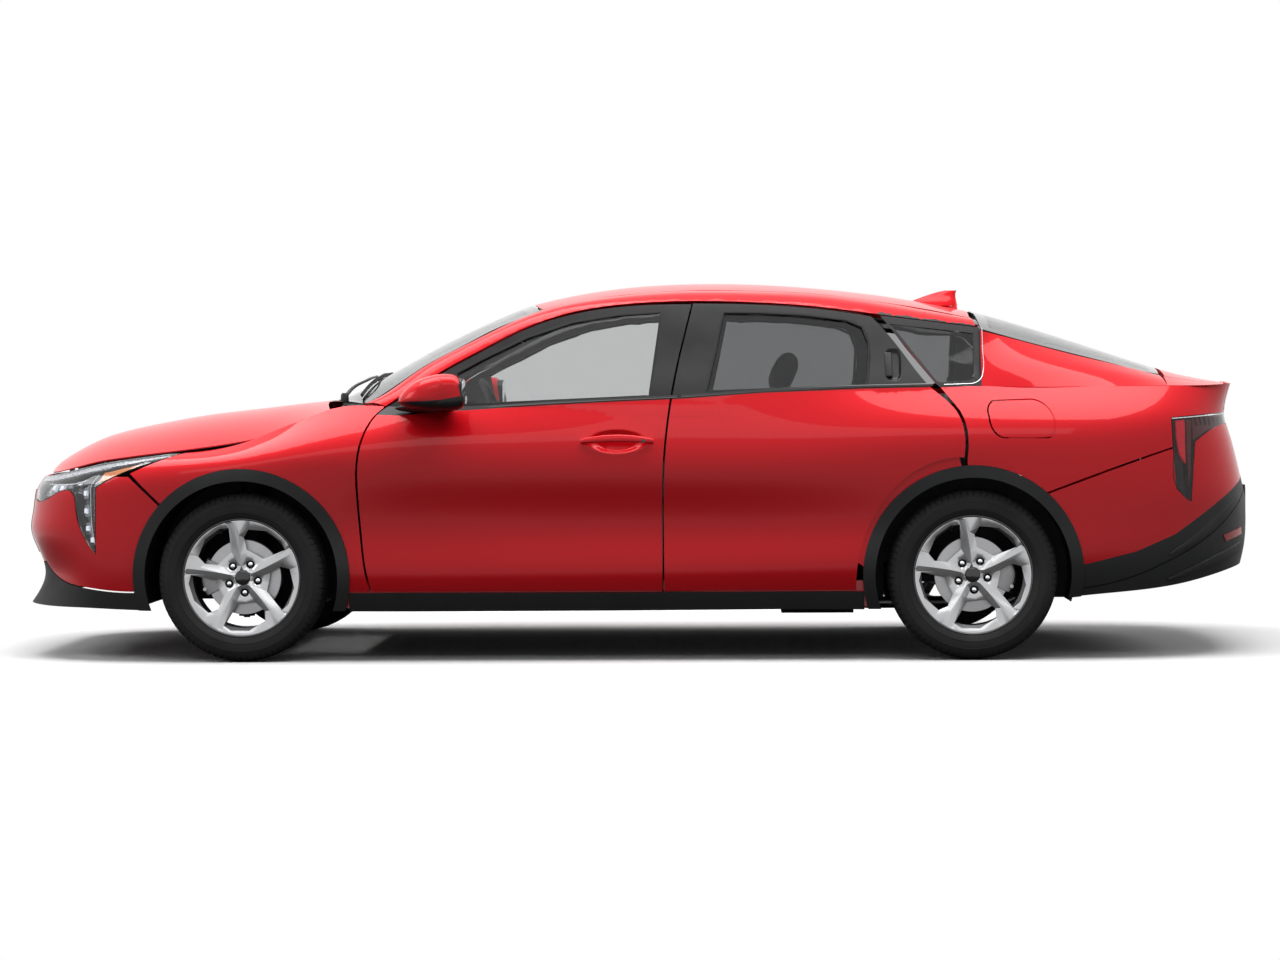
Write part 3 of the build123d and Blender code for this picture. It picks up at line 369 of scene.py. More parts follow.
IRON = metal("iron_cast", (0.12, 0.118, 0.115), 0.62, 260.0, 0.1, 0.5)
CHROME = Shader("chrome_bright", (0.86, 0.87, 0.88), 0.06, 1.0).vary_rough(40.0, 0.02).mat
SILVER = Shader("silver_satin", (0.62, 0.63, 0.65), 0.28, 0.9).vary_rough(120.0, 0.05).mat
CLEAR = glassy("glass_clear", (0.70, 0.71, 0.71))
TINTED = glassy("glass_tinted", (0.35, 0.355, 0.36))
SCREEN = glassy("glass_screen", (0.42, 0.45, 0.44))
LENS = glassy("lens_clear", (0.97, 0.98, 1.0), ior=1.35)
RED_LENS = Shader("lens_red", (0.34, 0.004, 0.008), 0.10, Transmission_Weight=0.25, Coat_Weight=1.0,
                  Coat_Roughness=0.03).vary_rough(24.0, 0.03).mat
AMBER = Shader("lens_amber", (0.75, 0.20, 0.01), 0.12, Transmission_Weight=0.2, Coat_Weight=1.0,
               Coat_Roughness=0.03).vary_rough(24.0, 0.03).mat
SMOKE = glassy("lens_smoked", (0.45, 0.40, 0.41), ior=1.3)
UNDER = grained("paint_underbody", (0.016, 0.016, 0.016), 0.7, 300.0, 0.5)
CLOTH = woven("cloth_seat", (0.045, 0.046, 0.050), (0.075, 0.077, 0.082))
CLOTH_SIDE = woven("cloth_bolster", (0.022, 0.022, 0.024), (0.035, 0.035, 0.037), 1400.0)
LINER = woven("cloth_headliner", (0.42, 0.41, 0.39), (0.50, 0.49, 0.47), 1500.0, 0.3)
CARPET = woven("carpet_black", (0.015, 0.015, 0.016), (0.035, 0.035, 0.036), 500.0, 1.0)
DASH = grained("plastic_dash", (0.022, 0.022, 0.024), 0.58, 1300.0, 0.5)
CABIN_GREY = grained("plastic_cabin_grey", (0.11, 0.11, 0.112), 0.6, 1300.0, 0.4)
LEATHER = grained("leather_wheel", (0.016, 0.016, 0.017), 0.5, 900.0, 0.6)
PLATE = grained("plate_blank", (0.60, 0.60, 0.58), 0.35, 500.0, 0.1)
REFLECTOR = grained("reflector_red", (0.42, 0.008, 0.010), 0.18, 420.0, 0.9)
GLOW = lit("lamp_white", (0.80, 0.84, 0.90), 0.25)
SMOKED_CHROME = Shader("chrome_smoked", (0.20, 0.205, 0.215), 0.14, 1.0).vary_rough(60.0, 0.03).mat
BRIGHT_RED = Shader("lens_red_bright", (0.80, 0.004, 0.020), 0.16, Emission_Strength=0.55,
                    Emission_Color=(0.9, 0.0, 0.03, 1),
                    Coat_Weight=0.8, Coat_Roughness=0.04).vary_rough(50.0, 0.03).mat
SMOKED_RED = Shader("lens_red_smoked", (0.075, 0.003, 0.005), 0.08, Coat_Weight=1.0,
                    Coat_Roughness=0.02).vary_rough(30.0, 0.02).mat
MIRROR_GLASS = Shader("glass_mirror", (0.75, 0.77, 0.78), 0.02, 1.0).vary_rough(20.0, 0.01).mat
DISPLAY = Shader("glass_display", (0.010, 0.013, 0.020), 0.06, Coat_Weight=1.0,
                 Coat_Roughness=0.02).vary_rough(20.0, 0.02).mat


def pillar_paint():
    """Body colour on faces that look out of the car, grey lining on those that look in."""
    s = Shader("paint_inner_frame", (0.60, 0.003, 0.008), 0.35, 0.2, Coat_Weight=0.5, Coat_Roughness=0.05)
    where = s.node("ShaderNodeSeparateXYZ")
    facing = s.node("ShaderNodeSeparateXYZ")
    s.link(s.where, where.inputs[0])
    s.link(s.node("ShaderNodeNewGeometry").outputs["Normal"], facing.inputs[0])
    outward_part = s.node("ShaderNodeMath", operation="MULTIPLY")
    s.link(where.outputs["Y"], outward_part.inputs[0])
    s.link(facing.outputs["Y"], outward_part.inputs[1])
    mix = s.node("ShaderNodeMix", data_type="RGBA")
    mix.inputs[6].default_value = (0.09, 0.09, 0.092, 1)
    mix.inputs[7].default_value = (0.60, 0.003, 0.008, 1)
    s.link(s.ramp(outward_part.outputs[0], 0.0, 1.0, 0.30, 0.36), mix.inputs[0])
    s.link(mix.outputs[2], s.bsdf.inputs["Base Color"])
    s.vary_rough(40.0, 0.05)
    return s.mat


FRAME_PAINT = pillar_paint()


# ---------------------------------------------------------------- camera, floor and lights
def camera():
    """Long lens, low on the left of the car."""
    yaw, pitch, roll = math.radians(1.949), math.radians(1.4755), math.radians(-0.340)
    ahead = Vector((-math.sin(yaw) * math.cos(pitch), math.cos(yaw) * math.cos(pitch), -math.sin(pitch)))
    across = Vector((math.cos(yaw), math.sin(yaw), 0))
    down = Vector((math.sin(yaw) * math.sin(pitch), -math.cos(yaw) * math.sin(pitch), -math.cos(pitch)))
    x = across * math.cos(roll) - down * math.sin(roll)
    y = across * math.sin(roll) + down * math.cos(roll)
    data = bpy.data.cameras.new("camera")
    data.sensor_width = 36.0
    data.lens = 89.92125
    data.clip_end = 200.0
    cam = bpy.data.objects.new("camera", data)
    turn = Matrix((x, -y, -ahead)).transposed()
    cam.matrix_world = Matrix.Translation((0.4320, -12.7262, 0.9784)) @ turn.to_4x4()
    bpy.context.scene.collection.objects.link(cam)
    bpy.context.scene.camera = cam


def seen_directly(tree, *names):
    """1 for camera rays and the named kinds of ray, 0 for the rest."""
    path = tree.nodes.new("ShaderNodeLightPath")
    total = path.outputs["Is Camera Ray"]
    for name in names:
        more = tree.nodes.new("ShaderNodeMath")
        more.operation = "MAXIMUM"
        tree.links.new(total, more.inputs[0])
        tree.links.new(path.outputs[name], more.inputs[1])
        total = more.outputs[0]
    return total


def mixed(tree, factor, first, second):
    """Second shader where the factor is 1, first where it is 0."""
    mix = tree.nodes.new("ShaderNodeMixShader")
    tree.links.new(factor, mix.inputs[0])
    tree.links.new(first, mix.inputs[1])
    tree.links.new(second, mix.inputs[2])
    return mix.outputs[0]


def floor_material():
    """Pale floor that keeps the car's shadow and runs out to plain white a few metres away."""
    s = Shader("floor_pale", (0.10, 0.10, 0.10), 0.95).vary_color(0.5, (0.095, 0.095, 0.095))
    s.put("Specular IOR Level", 0.0)
    tree = s.tree
    pale = s.node("ShaderNodeBsdfDiffuse")
    pale.inputs[0].default_value = (0.97, 0.97, 0.97, 1)
    direct = seen_directly(tree, "Is Glossy Ray", "Is Transmission Ray")
    near = mixed(tree, seen_directly(tree, "Is Transmission Ray"), s.bsdf.outputs[0], pale.outputs[0])
    scaled = s.node("ShaderNodeVectorMath", operation="MULTIPLY")
    scaled.inputs[1].default_value = (1 / 3.6, 1 / 2.3, 0)
    tree.links.new(s.where, scaled.inputs[0])
    length = s.node("ShaderNodeVectorMath", operation="LENGTH")
    tree.links.new(scaled.outputs[0], length.inputs[0])
    far = s.ramp(length.outputs["Value"], 0.0, 1.0, 0.85, 1.3)
    both_ways = s.node("ShaderNodeMath", operation="MULTIPLY")
    tree.links.new(far, both_ways.inputs[0])
    tree.links.new(direct, both_ways.inputs[1])
    white = s.node("ShaderNodeEmission")
    white.inputs[0].default_value = (1, 1, 1, 1)
    tree.links.new(mixed(tree, both_ways.outputs[0], near, white.outputs[0]),
                   tree.nodes["Material Output"].inputs["Surface"])
    return s.mat


def lamp(name, place, target, size, power):
    data = bpy.data.lights.new(name, "AREA")
    data.shape = "RECTANGLE"
    data.size, data.size_y = size
    data.energy = power
    obj = bpy.data.objects.new(name, data)
    obj.location = place
    obj.rotation_euler = (Vector(target) - Vector(place)).to_track_quat("-Z", "Y").to_euler()
    bpy.context.scene.collection.objects.link(obj)


def stage():
    """World, floor and lamps; the world and the far floor are white only to rays that show them."""
    world = bpy.data.worlds.new("studio")
    bpy.context.scene.world = world
    world.use_nodes = True
    tree = world.node_tree
    back = tree.nodes["Background"]
    back.inputs[0].default_value = (1, 1, 1, 1)
    back.inputs[1].default_value = 0.22
    white = tree.nodes.new("ShaderNodeBackground")
    white.inputs[0].default_value = (1, 1, 1, 1)
    white.inputs[1].default_value = 1.0
    tree.links.new(mixed(tree, seen_directly(tree, "Is Glossy Ray", "Is Transmission Ray"), back.outputs[0],
                         white.outputs[0]), tree.nodes["World Output"].inputs["Surface"])
    mesh = bpy.data.meshes.new("floor")
    reach = 60.0
    mesh.from_pydata([(-reach, -reach, 0), (reach, -reach, 0), (reach, reach, 0), (-reach, reach, 0)], [],
                     [(0, 1, 2, 3)])
    floor = bpy.data.objects.new("floor", mesh)
    bpy.context.scene.collection.objects.link(floor)
    mesh.materials.append(floor_material())
    lamp("key_top", (-0.2, -0.6, 5.6), (0, 0, 0.6), (8.5, 4.0), 600)
    lamp("side_soft", (-0.6, -7.5, 5.2), (0, 0, 0.9), (8.0, 1.8), 60)
    lamp("rear_soft", (6.5, 3.0, 3.8), (0, 0, 0.8), (3.5, 2.0), 90)
    lamp("nose_soft", (-6.5, -2.0, 3.8), (-1, 0, 0.7), (3.0, 2.0), 80)
    bpy.context.scene.view_settings.view_transform = "Standard"


camera()
stage()


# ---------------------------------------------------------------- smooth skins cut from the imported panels
def dense(points, steps_u, steps_v, offset=0.0, inward=(0, 1, -0.2)):
    """Fine triangle mesh of a body surface in metres with its true normals, for snapping panels to."""
    p = points(steps_u, steps_v)
    du, dv = np.gradient(p, axis=0), np.gradient(p, axis=1)
    n = np.cross(du, dv)
    n /= np.linalg.norm(n, axis=2)[..., None]
    if np.einsum("ijk,k->ij", n, np.asarray(inward, float)).mean() > 0:
        n = -n
    p = p + n * offset
    return p * MM, n


class Surface:
    """Body surface as triangles with true normals, for finding nearest points."""

    def __init__(self, p, n):
        rows, cols = p.shape[:2]
        self.rows, self.cols = rows, cols
        self.co = [Vector(v) for v in p.reshape(-1, 3)]
        self.no = [Vector(v) for v in n.reshape(-1, 3)]
        self.tris = []
        for i in range(rows - 1):
            for j in range(cols - 1):
                a = i * cols + j
                self.tris += [(a, a + 1, a + cols), (a + 1, a + cols + 1, a + cols)]
        self.tree = BVHTree.FromPolygons(self.co, self.tris)

    def nearest(self, point, reach):
        where, _, index, distance = self.tree.find_nearest(point, reach)
        if where is None:
            return None
        a, b, c = self.tris[index]
        normal = barycentric_transform(where, self.co[a], self.co[b], self.co[c], self.no[a], self.no[b],
                                       self.no[c])
        return where, normal.normalized(), distance

    def across(self, point):
        """How far along the rows and columns a point lies, each from 0 to 1."""
        index = self.tree.find_nearest(point)[2] // 2
        return index // (self.cols - 1) / (self.rows - 1), index % (self.cols - 1) / (self.cols - 1)


def mirrored(p, n):
    flip = np.array([1, -1, 1.0])
    return Surface(p * flip, n * flip)


def both(points, steps_u, steps_v, offset=0.0):
    """A left-hand surface and its mirror image."""
    p, n = dense(points, steps_u, steps_v, offset)
    return [Surface(p, n), mirrored(p, n)]


def glass_points(xs, zs):
    """Grid of points on the outer face of the side glass, in mm."""
    gx, gz = np.meshgrid(xs, zs, indexing="ij")
    return np.stack([gx, glass_y(gx, gz), gz], axis=-1)


def steps(first, last, count):
    return np.linspace(first, last, count)


SIDE = both(side, steps(0, 17, 360), steps(190, 965, 110))
ARCH_OUT = both(side, steps(3.8, 14.2, 240), steps(190, 965, 80), 7.0)
GLASSHOUSE = both(glass_points, steps(-1100, 1330, 120), steps(900, 1346, 40))
PANES = both(glass_points, steps(-1000, 1310, 120), steps(900, 1346, 40), -GLASS_SET / MM)
RAILS = both(rail, steps(0, 12, 160), steps(0, 2, 24))
PILLARS = both(pillar_surface, steps(0, 4, 60), steps(0, 2, 30))
DOWN = (0, 0.1, -1)
TOPS = [Surface(*dense(s, steps(0, last, 110), steps(-1, 1, 90), 0.0, DOWN)) for s, last in (
    (hood_surface, 9), (windshield_surface, 7), (roof_surface, 9), (backlight_surface, 5), (deck_surface, 4))]
HOOD, WINDSHIELD, ROOF, BACKLIGHT, DECK = TOPS


def bmesh_of(node):
    """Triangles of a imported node, welded."""
    bm = bmesh.new()
    bm.from_mesh(NODES[node].data)
    bmesh.ops.remove_doubles(bm, verts=bm.verts, dist=2e-6)
    bmesh.ops.triangulate(bm, faces=bm.faces)
    return bm


SKIN_REACH = 0.0016


def refine(bm, surfaces, longest, fine=None):
    """Splits long edges of the outer skin and lays every skin point on the true surface.

    fine(point) may ask for shorter edges somewhere. Returns the true normal of each skin vertex by index."""
    def on_skin(point):
        best = None
        for s in surfaces:
            found = s.nearest(point, SKIN_REACH)
            if found and (best is None or found[2] < best[2]):
                best = found
        return best

    known = {}
    for _ in range(8):
        for v in bm.verts:
            if v not in known:
                known[v] = on_skin(v.co)
        edges = []
        for e in bm.edges:
            middle = (e.verts[0].co + e.verts[1].co) / 2
            limit = fine(middle) if fine else longest
            if e.calc_length() > limit and known[e.verts[0]] and known[e.verts[1]] and on_skin(middle):
                edges.append(e)
        if not edges:
            break
        bmesh.ops.subdivide_edges(bm, edges=edges, cuts=1)
        bmesh.ops.triangulate(bm, faces=[f for f in bm.faces if len(f.verts) > 3])
    for v in bm.verts:
        if v not in known:
            known[v] = on_skin(v.co)
        if known[v]:
            v.co = known[v][0]
    bm.verts.index_update()
    return {v.index: known[v][1] for v in bm.verts if known[v]}


def cut_along(bm, line):
    """Cuts the faces along a broken line of (x, z) points, so two finishes can meet on it."""
    for (x0, z0), (x1, z1) in zip(line, line[1:]):
        for x in (x0, x1):
            faces = [f for f in bm.faces if min(v.co.x for v in f.verts) < x < max(v.co.x for v in f.verts)]
            geom = set(faces) | {e for f in faces for e in f.edges} | {v for f in faces for v in f.verts}
            bmesh.ops.bisect_plane(bm, geom=list(geom), dist=1e-6, plane_co=(x, 0, 0), plane_no=(1, 0, 0))
        faces = [f for f in bm.faces if x0 < f.calc_center_median().x < x1]
        geom = set(faces) | {e for f in faces for e in f.edges} | {v for f in faces for v in f.verts}
        bmesh.ops.bisect_plane(bm, geom=list(geom), dist=1e-6, plane_co=(x0, 0, z0),
                               plane_no=(z0 - z1, 0, x1 - x0))
    bmesh.ops.triangulate(bm, faces=[f for f in bm.faces if len(f.verts) > 3])


def height_on(line, x):
    """Height at x of a broken line of (x, z) points."""
    return float(np.interp(x, [p[0] for p in line], [p[1] for p in line]))


def below(line, x, z):
    return z < height_on(line, x)


def place(obj, body, slot=None, replaces=()):
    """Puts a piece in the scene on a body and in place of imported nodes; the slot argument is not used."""
    bpy.context.scene.collection.objects.link(obj)
    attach(obj, body)
    if replaces:
        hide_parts(*replaces)
    return obj


def body_of_node(node):
    return NODES[node]["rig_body"]


def skin(node, surfaces, mats, choose=None, lines=(), longest=0.03, slot="body_paint", drop=None, fine=None,
         dent=None):
    """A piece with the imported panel's outline, its outer skin laid on the true body surface.

    drop(face) leaves faces out, and dent(point) gives how far the skin is pressed in at a point."""
    bm = bmesh_of(node)
    if drop:
        bmesh.ops.delete(bm, geom=[f for f in bm.faces if drop(f)], context="FACES")
    for line in lines:
        cut_along(bm, line)
    true = refine(bm, surfaces, longest, fine=fine)
    if dent:
        for v in bm.verts:
            deep = dent(v.co) if v.index in true else 0.0
            if deep:
                v.co -= true.pop(v.index) * deep
    bm.faces.ensure_lookup_table()
    bm.normal_update()
    for f in bm.faces:
        f.smooth = True
        f.material_index = choose(f.calc_center_median(), f.normal) if choose else 0
    mesh = bpy.data.meshes.new(node + "_skin")
    corner_normals = []
    limit, split = math.cos(math.radians(35)), math.cos(math.radians(25))
    for f in bm.faces:
        for v in f.verts:
            n = true.get(v.index)
            if n is not None and n.dot(f.normal) > limit:
                corner_normals.append(n)
            else:
                near = [g.normal * g.calc_area() for g in v.link_faces if g.normal.dot(f.normal) > split]
                total = Vector((0, 0, 0))
                for g in near:
                    total += g
                corner_normals.append(total.normalized() if total.length > 0 else f.normal.copy())
    bm.to_mesh(mesh)
    bm.free()
    mesh.normals_split_custom_set([tuple(n) for n in corner_normals])
    for m in mats:
        mesh.materials.append(m)
    obj = bpy.data.objects.new(node + "_skin", mesh)
    return place(obj, body_of_node(node), slot, [node])


# ---------------------------------------------------------------- painted panels and glass
TRIM_LINE = [(x * MM, z * MM) for x, z in (
    (-1100, 926), (-1026, 924), (-954, 920), (-863, 917), (-734, 930), (-606, 936), (-306, 953), (-60, 964),
    (178, 973),
    (475, 993), (845, 1006), (1111, 1011), (1269, 1018), (1400, 1020))]
HANDLE_X, HANDLE_Z = -0.058, 0.816
PULL_X, PULL_Z = 0.954, 1.096
LID_ARM = [(2.10, 0.862), (2.40, 0.885)], [(2.10, 0.905), (2.40, 0.918)]


def door_finish(point, normal):
    """Paint below the belt, black above it, grey lining on what faces the cabin."""
    i = 0 if point.y < 0 else 1
    outside = [s.nearest(point, 0.023) for s in (SIDE[i], GLASSHOUSE[i])]
    if not any(outside) and normal.y * point.y < 0:
        return 2
    return 0 if below(TRIM_LINE, point.x, point.z) else 1


def oval(u, v):
    """1 in the middle of a unit oval, falling smoothly to 0 at its edge."""
    r = math.sqrt(u * u + v * v)
    return 0.0 if r >= 1 else (1.0 if r < 0.55 else 0.5 + 0.5 * math.cos(math.pi * (r - 0.55) / 0.45))


def handle_cup(p):
    """Depth of the finger recess behind the front door handle."""
    return 0.019 * oval((p.x - HANDLE_X - 0.002) / 0.112, (p.z - HANDLE_Z) / 0.047)


def pull_cup(p):
    """Depth of the recess round the rear door pull."""
    u, v = abs(p.x - PULL_X - 0.018) / 0.030, abs(p.z - PULL_Z) / 0.062
    return 0.011 * oval(u ** 2, v ** 2)


def near_handle(p):
    """Edge length for the front door skin, finer round the recess."""
    return 0.006 if abs(p.x - HANDLE_X) < 0.13 and abs(p.z - HANDLE_Z) < 0.056 else 0.028


def near_pull(p):
    """Edge length for the rear door skin, finer round the recess."""
    return 0.006 if abs(p.x - PULL_X - 0.018) < 0.040 and abs(p.z - PULL_Z) < 0.07 else 0.028


def side_finish(point, _):
    """The window surround of the quarter is black up to the door's rear edge."""
    glass = -float(glass_y(point.x / MM, point.z / MM)) * MM
    beside_window = 0.92 < point.x < 1.301 and point.z > 1.012
    return 1 if beside_window and abs(point.y) > max(0.668, glass - 0.006) else 0


def lid_finish(point, _):
    """Smoked arms of the tail lamps run onto the lid."""
    beside_plate = point.x > 2.1 and abs(point.y) > 0.20
    low, high = LID_ARM
    return 1 if beside_plate and below(high, point.x, point.z) and not below(low, point.x, point.z) else 0


def fritted(surface, rows, cols, high):
    """Black ceramic border where a pane is glued in; rows and cols are the border's widths."""
    def choose(point, _):
        a, b = surface.across(point)
        return 1 if a < rows or a > 1 - high or b < cols or b > 1 - cols else 0
    return choose


def above_roof(face):
    """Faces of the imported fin, which the visual fin stands in for."""
    return all(abs(v.co.y) < 0.06 and v.co.x > 1.0 and ROOF.nearest(v.co, 0.004) is None and v.co.z > 1.33
               for v in face.verts)


REAR_BLACK = [(x * MM, z * MM) for x, z in ((1560, 330), (1722, 366), (1864, 401), (2010, 462), (2156, 561),
                                            (2280, 649), (2340, 700))]


def rear_finish(point, _):
    """Black valance under the red of the rear bumper."""
    return 1 if below(REAR_BLACK, point.x, point.z) else 0


def make_panels():
    for i, side_name in SIDES:
        skins = [SIDE[i], GLASSHOUSE[i]]
        skin(f"{side_name}_front_door", skins, [PAINT, TRIM, CABIN_GREY], door_finish, [TRIM_LINE], 0.028,
             fine=near_handle, dent=handle_cup)
        skin(f"{side_name}_rear_door", skins, [PAINT, TRIM, CABIN_GREY], door_finish, [TRIM_LINE], 0.028,
             fine=near_pull, dent=pull_cup)
    skin("side_panels", SIDE + GLASSHOUSE + RAILS + PILLARS + [DECK], [PAINT, TRIM], side_finish, [], 0.03)
    skin("front_fenders", SIDE, [PAINT], None, [], 0.03)
    skin("front_bumper", SIDE, [PAINT], None, [], 0.026)
    skin("rear_bumper", SIDE, [PAINT, CLADDING], rear_finish, [REAR_BLACK], 0.026)
    skin("fuel_door", SIDE, [PAINT], None, [], 0.03)
    skin("roof_panel", [ROOF], [PAINT], None, [], 0.04, drop=above_roof)
    skin("hood", [HOOD], [PAINT], None, [], 0.035)
    skin("trunk_lid", [DECK] + SIDE, [PAINT, SMOKED_RED], lid_finish, list(LID_ARM), 0.03)
    skin("rear_diffuser", SIDE, [CLADDING], None, [], 0.03, slot="black_plastic")
    skin("front_air_dam", SIDE, [CLADDING], None, [], 0.03, slot="black_plastic")
    skin("body_cladding", SIDE + ARCH_OUT, [CLADDING], None, [], 0.025, slot="black_plastic")


def make_glass():
    for i, side_name in SIDES:
        skin(f"{side_name}_front_glass", [PANES[i]], [CLEAR], None, [], 0.06, slot="side_glass")
        skin(f"{side_name}_rear_glass", [PANES[i]], [TINTED], None, [], 0.06, slot="rear_side_glass")
    skin("quarter_windows", PANES, [TINTED], None, [], 0.06, slot="rear_side_glass")
    skin("windshield", [WINDSHIELD], [SCREEN, GLOSS], fritted(WINDSHIELD, 0.055, 0.045, 0.07), [], 0.022,
         slot="clear_glass")
    skin("rear_window", [BACKLIGHT], [TINTED, GLOSS], fritted(BACKLIGHT, 0.07, 0.055, 0.09), [], 0.022,
         slot="clear_glass")


make_panels()
make_glass()


# ---------------------------------------------------------------- wheels and tyres, facing -Y
def mesh_piece(name, verts, faces, mat):
    mesh = bpy.data.meshes.new(name)
    mesh.from_pydata([tuple(v) for v in verts], [], faces)
    mesh.materials.append(mat)
    return bpy.data.objects.new(name, mesh)


def shade(obj, angle=35.0):
    """Smooth shading, with sharp edges where faces meet at more than the angle."""
    for p in obj.data.polygons:
        p.use_smooth = True
    bm = bmesh.new()
    bm.from_mesh(obj.data)
    limit = math.radians(angle)
    for e in bm.edges:
        e.smooth = len(e.link_faces) == 2 and e.calc_face_angle(0) < limit
    bm.to_mesh(obj.data)
    bm.free()
    return obj


def outward(obj):
    """Makes the normals of a closed mesh point out."""
    bm = bmesh.new()
    bm.from_mesh(obj.data)
    bmesh.ops.remove_doubles(bm, verts=bm.verts, dist=1e-6)
    bmesh.ops.recalc_face_normals(bm, faces=bm.faces)
    bm.to_mesh(obj.data)
    bm.free()
    return obj


def bake(obj):
    """Applies the modifiers of a piece that is already in the scene."""
    bpy.context.view_layer.update()
    graph = bpy.context.evaluated_depsgraph_get()
    made = bpy.data.meshes.new_from_object(obj.evaluated_get(graph))
    obj.modifiers.clear()
    obj.data = made
    return obj


def bevelled(obj, width, segments=2, angle=30.0):
    mod = obj.modifiers.new("bevel", "BEVEL")
    mod.width, mod.segments, mod.limit_method = width, segments, "ANGLE"
    mod.angle_limit = math.radians(angle)
    mod.harden_normals = False
    return obj


def revolved(name, profile, mat, count=96):
    """Turns a closed outline of (radius, y) points about the Y axis."""
    verts, faces, n = [], [], len(profile)
    for i in range(count):
        a = 2 * math.pi * i / count
        verts += [(r * math.cos(a), y, r * math.sin(a)) for r, y in profile]
    for i in range(count):
        j = (i + 1) % count
        for k in range(n):
            m = (k + 1) % n
            faces.append((i * n + k, i * n + m, j * n + m, j * n + k))
    return shade(outward(mesh_piece(name, verts, faces, mat)), 30.0)


def round_angles(count):
    """Even angles of a full turn."""
    return np.linspace(0, 2 * math.pi, count, endpoint=False)


def bent(value, exponent):
    """Sine or cosine to a power, with its sign kept: below 1 it makes a rounded box of an oval."""
    return math.copysign(abs(value) ** exponent, value)


def at(point, *turns):
    """Matrix for a piece at a point, turned by each (degrees, axis)."""
    matrix = Matrix.Translation(point)
    for degrees, axis in turns:
        matrix = matrix @ Matrix.Rotation(math.radians(degrees), 4, axis)
    return matrix


def polar(r, degrees):
    a = math.radians(degrees)
    return (r * math.cos(a), r * math.sin(a))


def inside_area(area, x, z):
    """Whether a point lies within an outline."""
    hit = False
    for (x0, z0), (x1, z1) in zip(area, area[1:] + area[:1]):
        if (z0 > z) != (z1 > z) and x < (x1 - x0) * (z - z0) / (z1 - z0) + x0:
            hit = not hit
    return hit


def area_cuts(area):
    """The outline's edges as lines for cut_along, each with its x rising; upright edges are left out."""
    line = area + area[:1]
    return [[a, b] if a[0] < b[0] else [b, a] for a, b in zip(line, line[1:]) if abs(a[0] - b[0]) > 1e-4]


SPOKES = 5
LUG_CIRCLE, LUG_STEP, LUG_TURN = 0.057, 72, 35.0
WINDOW = [(0.150, -7.5), (0.182, -13.0), (0.199, -34.0), (0.201, -53.0), (0.192, -62.5), (0.104, -53.0),
          (0.099, -33), (0.105, -14.0)]


def wheel_face(name):
    """Cast face: five ridged spokes with a wedge foot, window openings and lug pockets."""
    points, edges, heights = [], [], []

    def add(p, h):
        points.append(Vector(p))
        heights.append(h)
        return len(points) - 1

    def loop(ids):
        edges.extend(zip(ids, ids[1:] + ids[:1]))

    lip = [add(polar(0.2145, 360 * i / 120), 0.0835) for i in range(120)]
    loop(lip)
    cap = [add(polar(0.029, 360 * i / 40), 0.058) for i in range(40)]
    loop(cap)
    holes = []
    for k in range(SPOKES):
        turn = 72.0 * k
        ring = [add(polar(r, a + turn), 0.056 + 0.024 * ((r - 0.09) / 0.12) - (0.004 if r < 0.16 else 0)) for r,
                a in WINDOW]
        loop(ring)
        holes.append([polar(r, a + turn) for r, a in WINDOW])
        lug = polar(LUG_CIRCLE, turn - LUG_TURN)
        pocket = [(lug[0] + 0.0145 * math.cos(2 * math.pi * j / 20),
                   lug[1] + 0.0145 * math.sin(2 * math.pi * j / 20))
                  for j in range(20)]
        loop([add(p, 0.052) for p in pocket])
        holes.append(pocket)
        ridge = [add(polar(r, a + turn), h) for r, a, h in (
            (0.044, 0.0, 0.0625), (0.085, 0.5, 0.0665), (0.150, 2.0, 0.0755), (0.2085, 3.2, 0.0825))]
        edges.extend(zip(ridge, ridge[1:]))
        foot = [add(polar(0.2085, -12.0 + turn), 0.081), add(polar(0.160, -1.2 + turn), 0.0745)]
        edges.extend([(foot[0], foot[1]), (foot[1], ridge[1])])
        left = [add(polar(0.2085, 9.0 + turn), 0.0785), add(polar(0.140, 8.6 + turn), 0.0685)]
        edges.append((left[0], left[1]))
        hub = [add(polar(0.086, 17.0 + turn), 0.0560), add(polar(0.086, -16.0 + turn), 0.0560)]
        edges.extend([(ridge[0], hub[0]), (ridge[0], hub[1])])
    co, _, tris, source, _, _ = CDT(points, edges, [], 0, 1e-7)

    def height(i):
        ids = source[i]
        return heights[ids[0]] if ids else 0.07

    keep = []
    for t in tris:
        c = (sum(co[i][0] for i in t) / 3, sum(co[i][1] for i in t) / 3)
        r = math.hypot(*c)
        if 0.0285 < r < 0.2145 and not any(inside_area(h, *c) for h in holes):
            keep.append(tuple(t))
    verts = [(v[0], -height(i), v[1]) for i, v in enumerate(co)]
    obj = mesh_piece(name, verts, keep, ALLOY)
    bm = bmesh.new()
    bm.from_mesh(obj.data)
    bmesh.ops.delete(bm, geom=[v for v in bm.verts if not v.link_faces], context="VERTS")
    bmesh.ops.recalc_face_normals(bm, faces=bm.faces)
    if sum(f.normal.y for f in bm.faces) > 0:
        bmesh.ops.reverse_faces(bm, faces=bm.faces)
    bmesh.ops.dissolve_limit(bm, angle_limit=math.radians(1.0), verts=bm.verts, edges=bm.edges)
    bm.to_mesh(obj.data)
    bm.free()
    solid = obj.modifiers.new("thick", "SOLIDIFY")
    solid.thickness, solid.offset = 0.020, -1
    solid.use_even_offset = False
    bevelled(obj, 0.0011, 2, 14.0)
    return obj


TREAD_PITCHES = 78
GROOVES = (-0.056, -0.020, 0.020, 0.056)


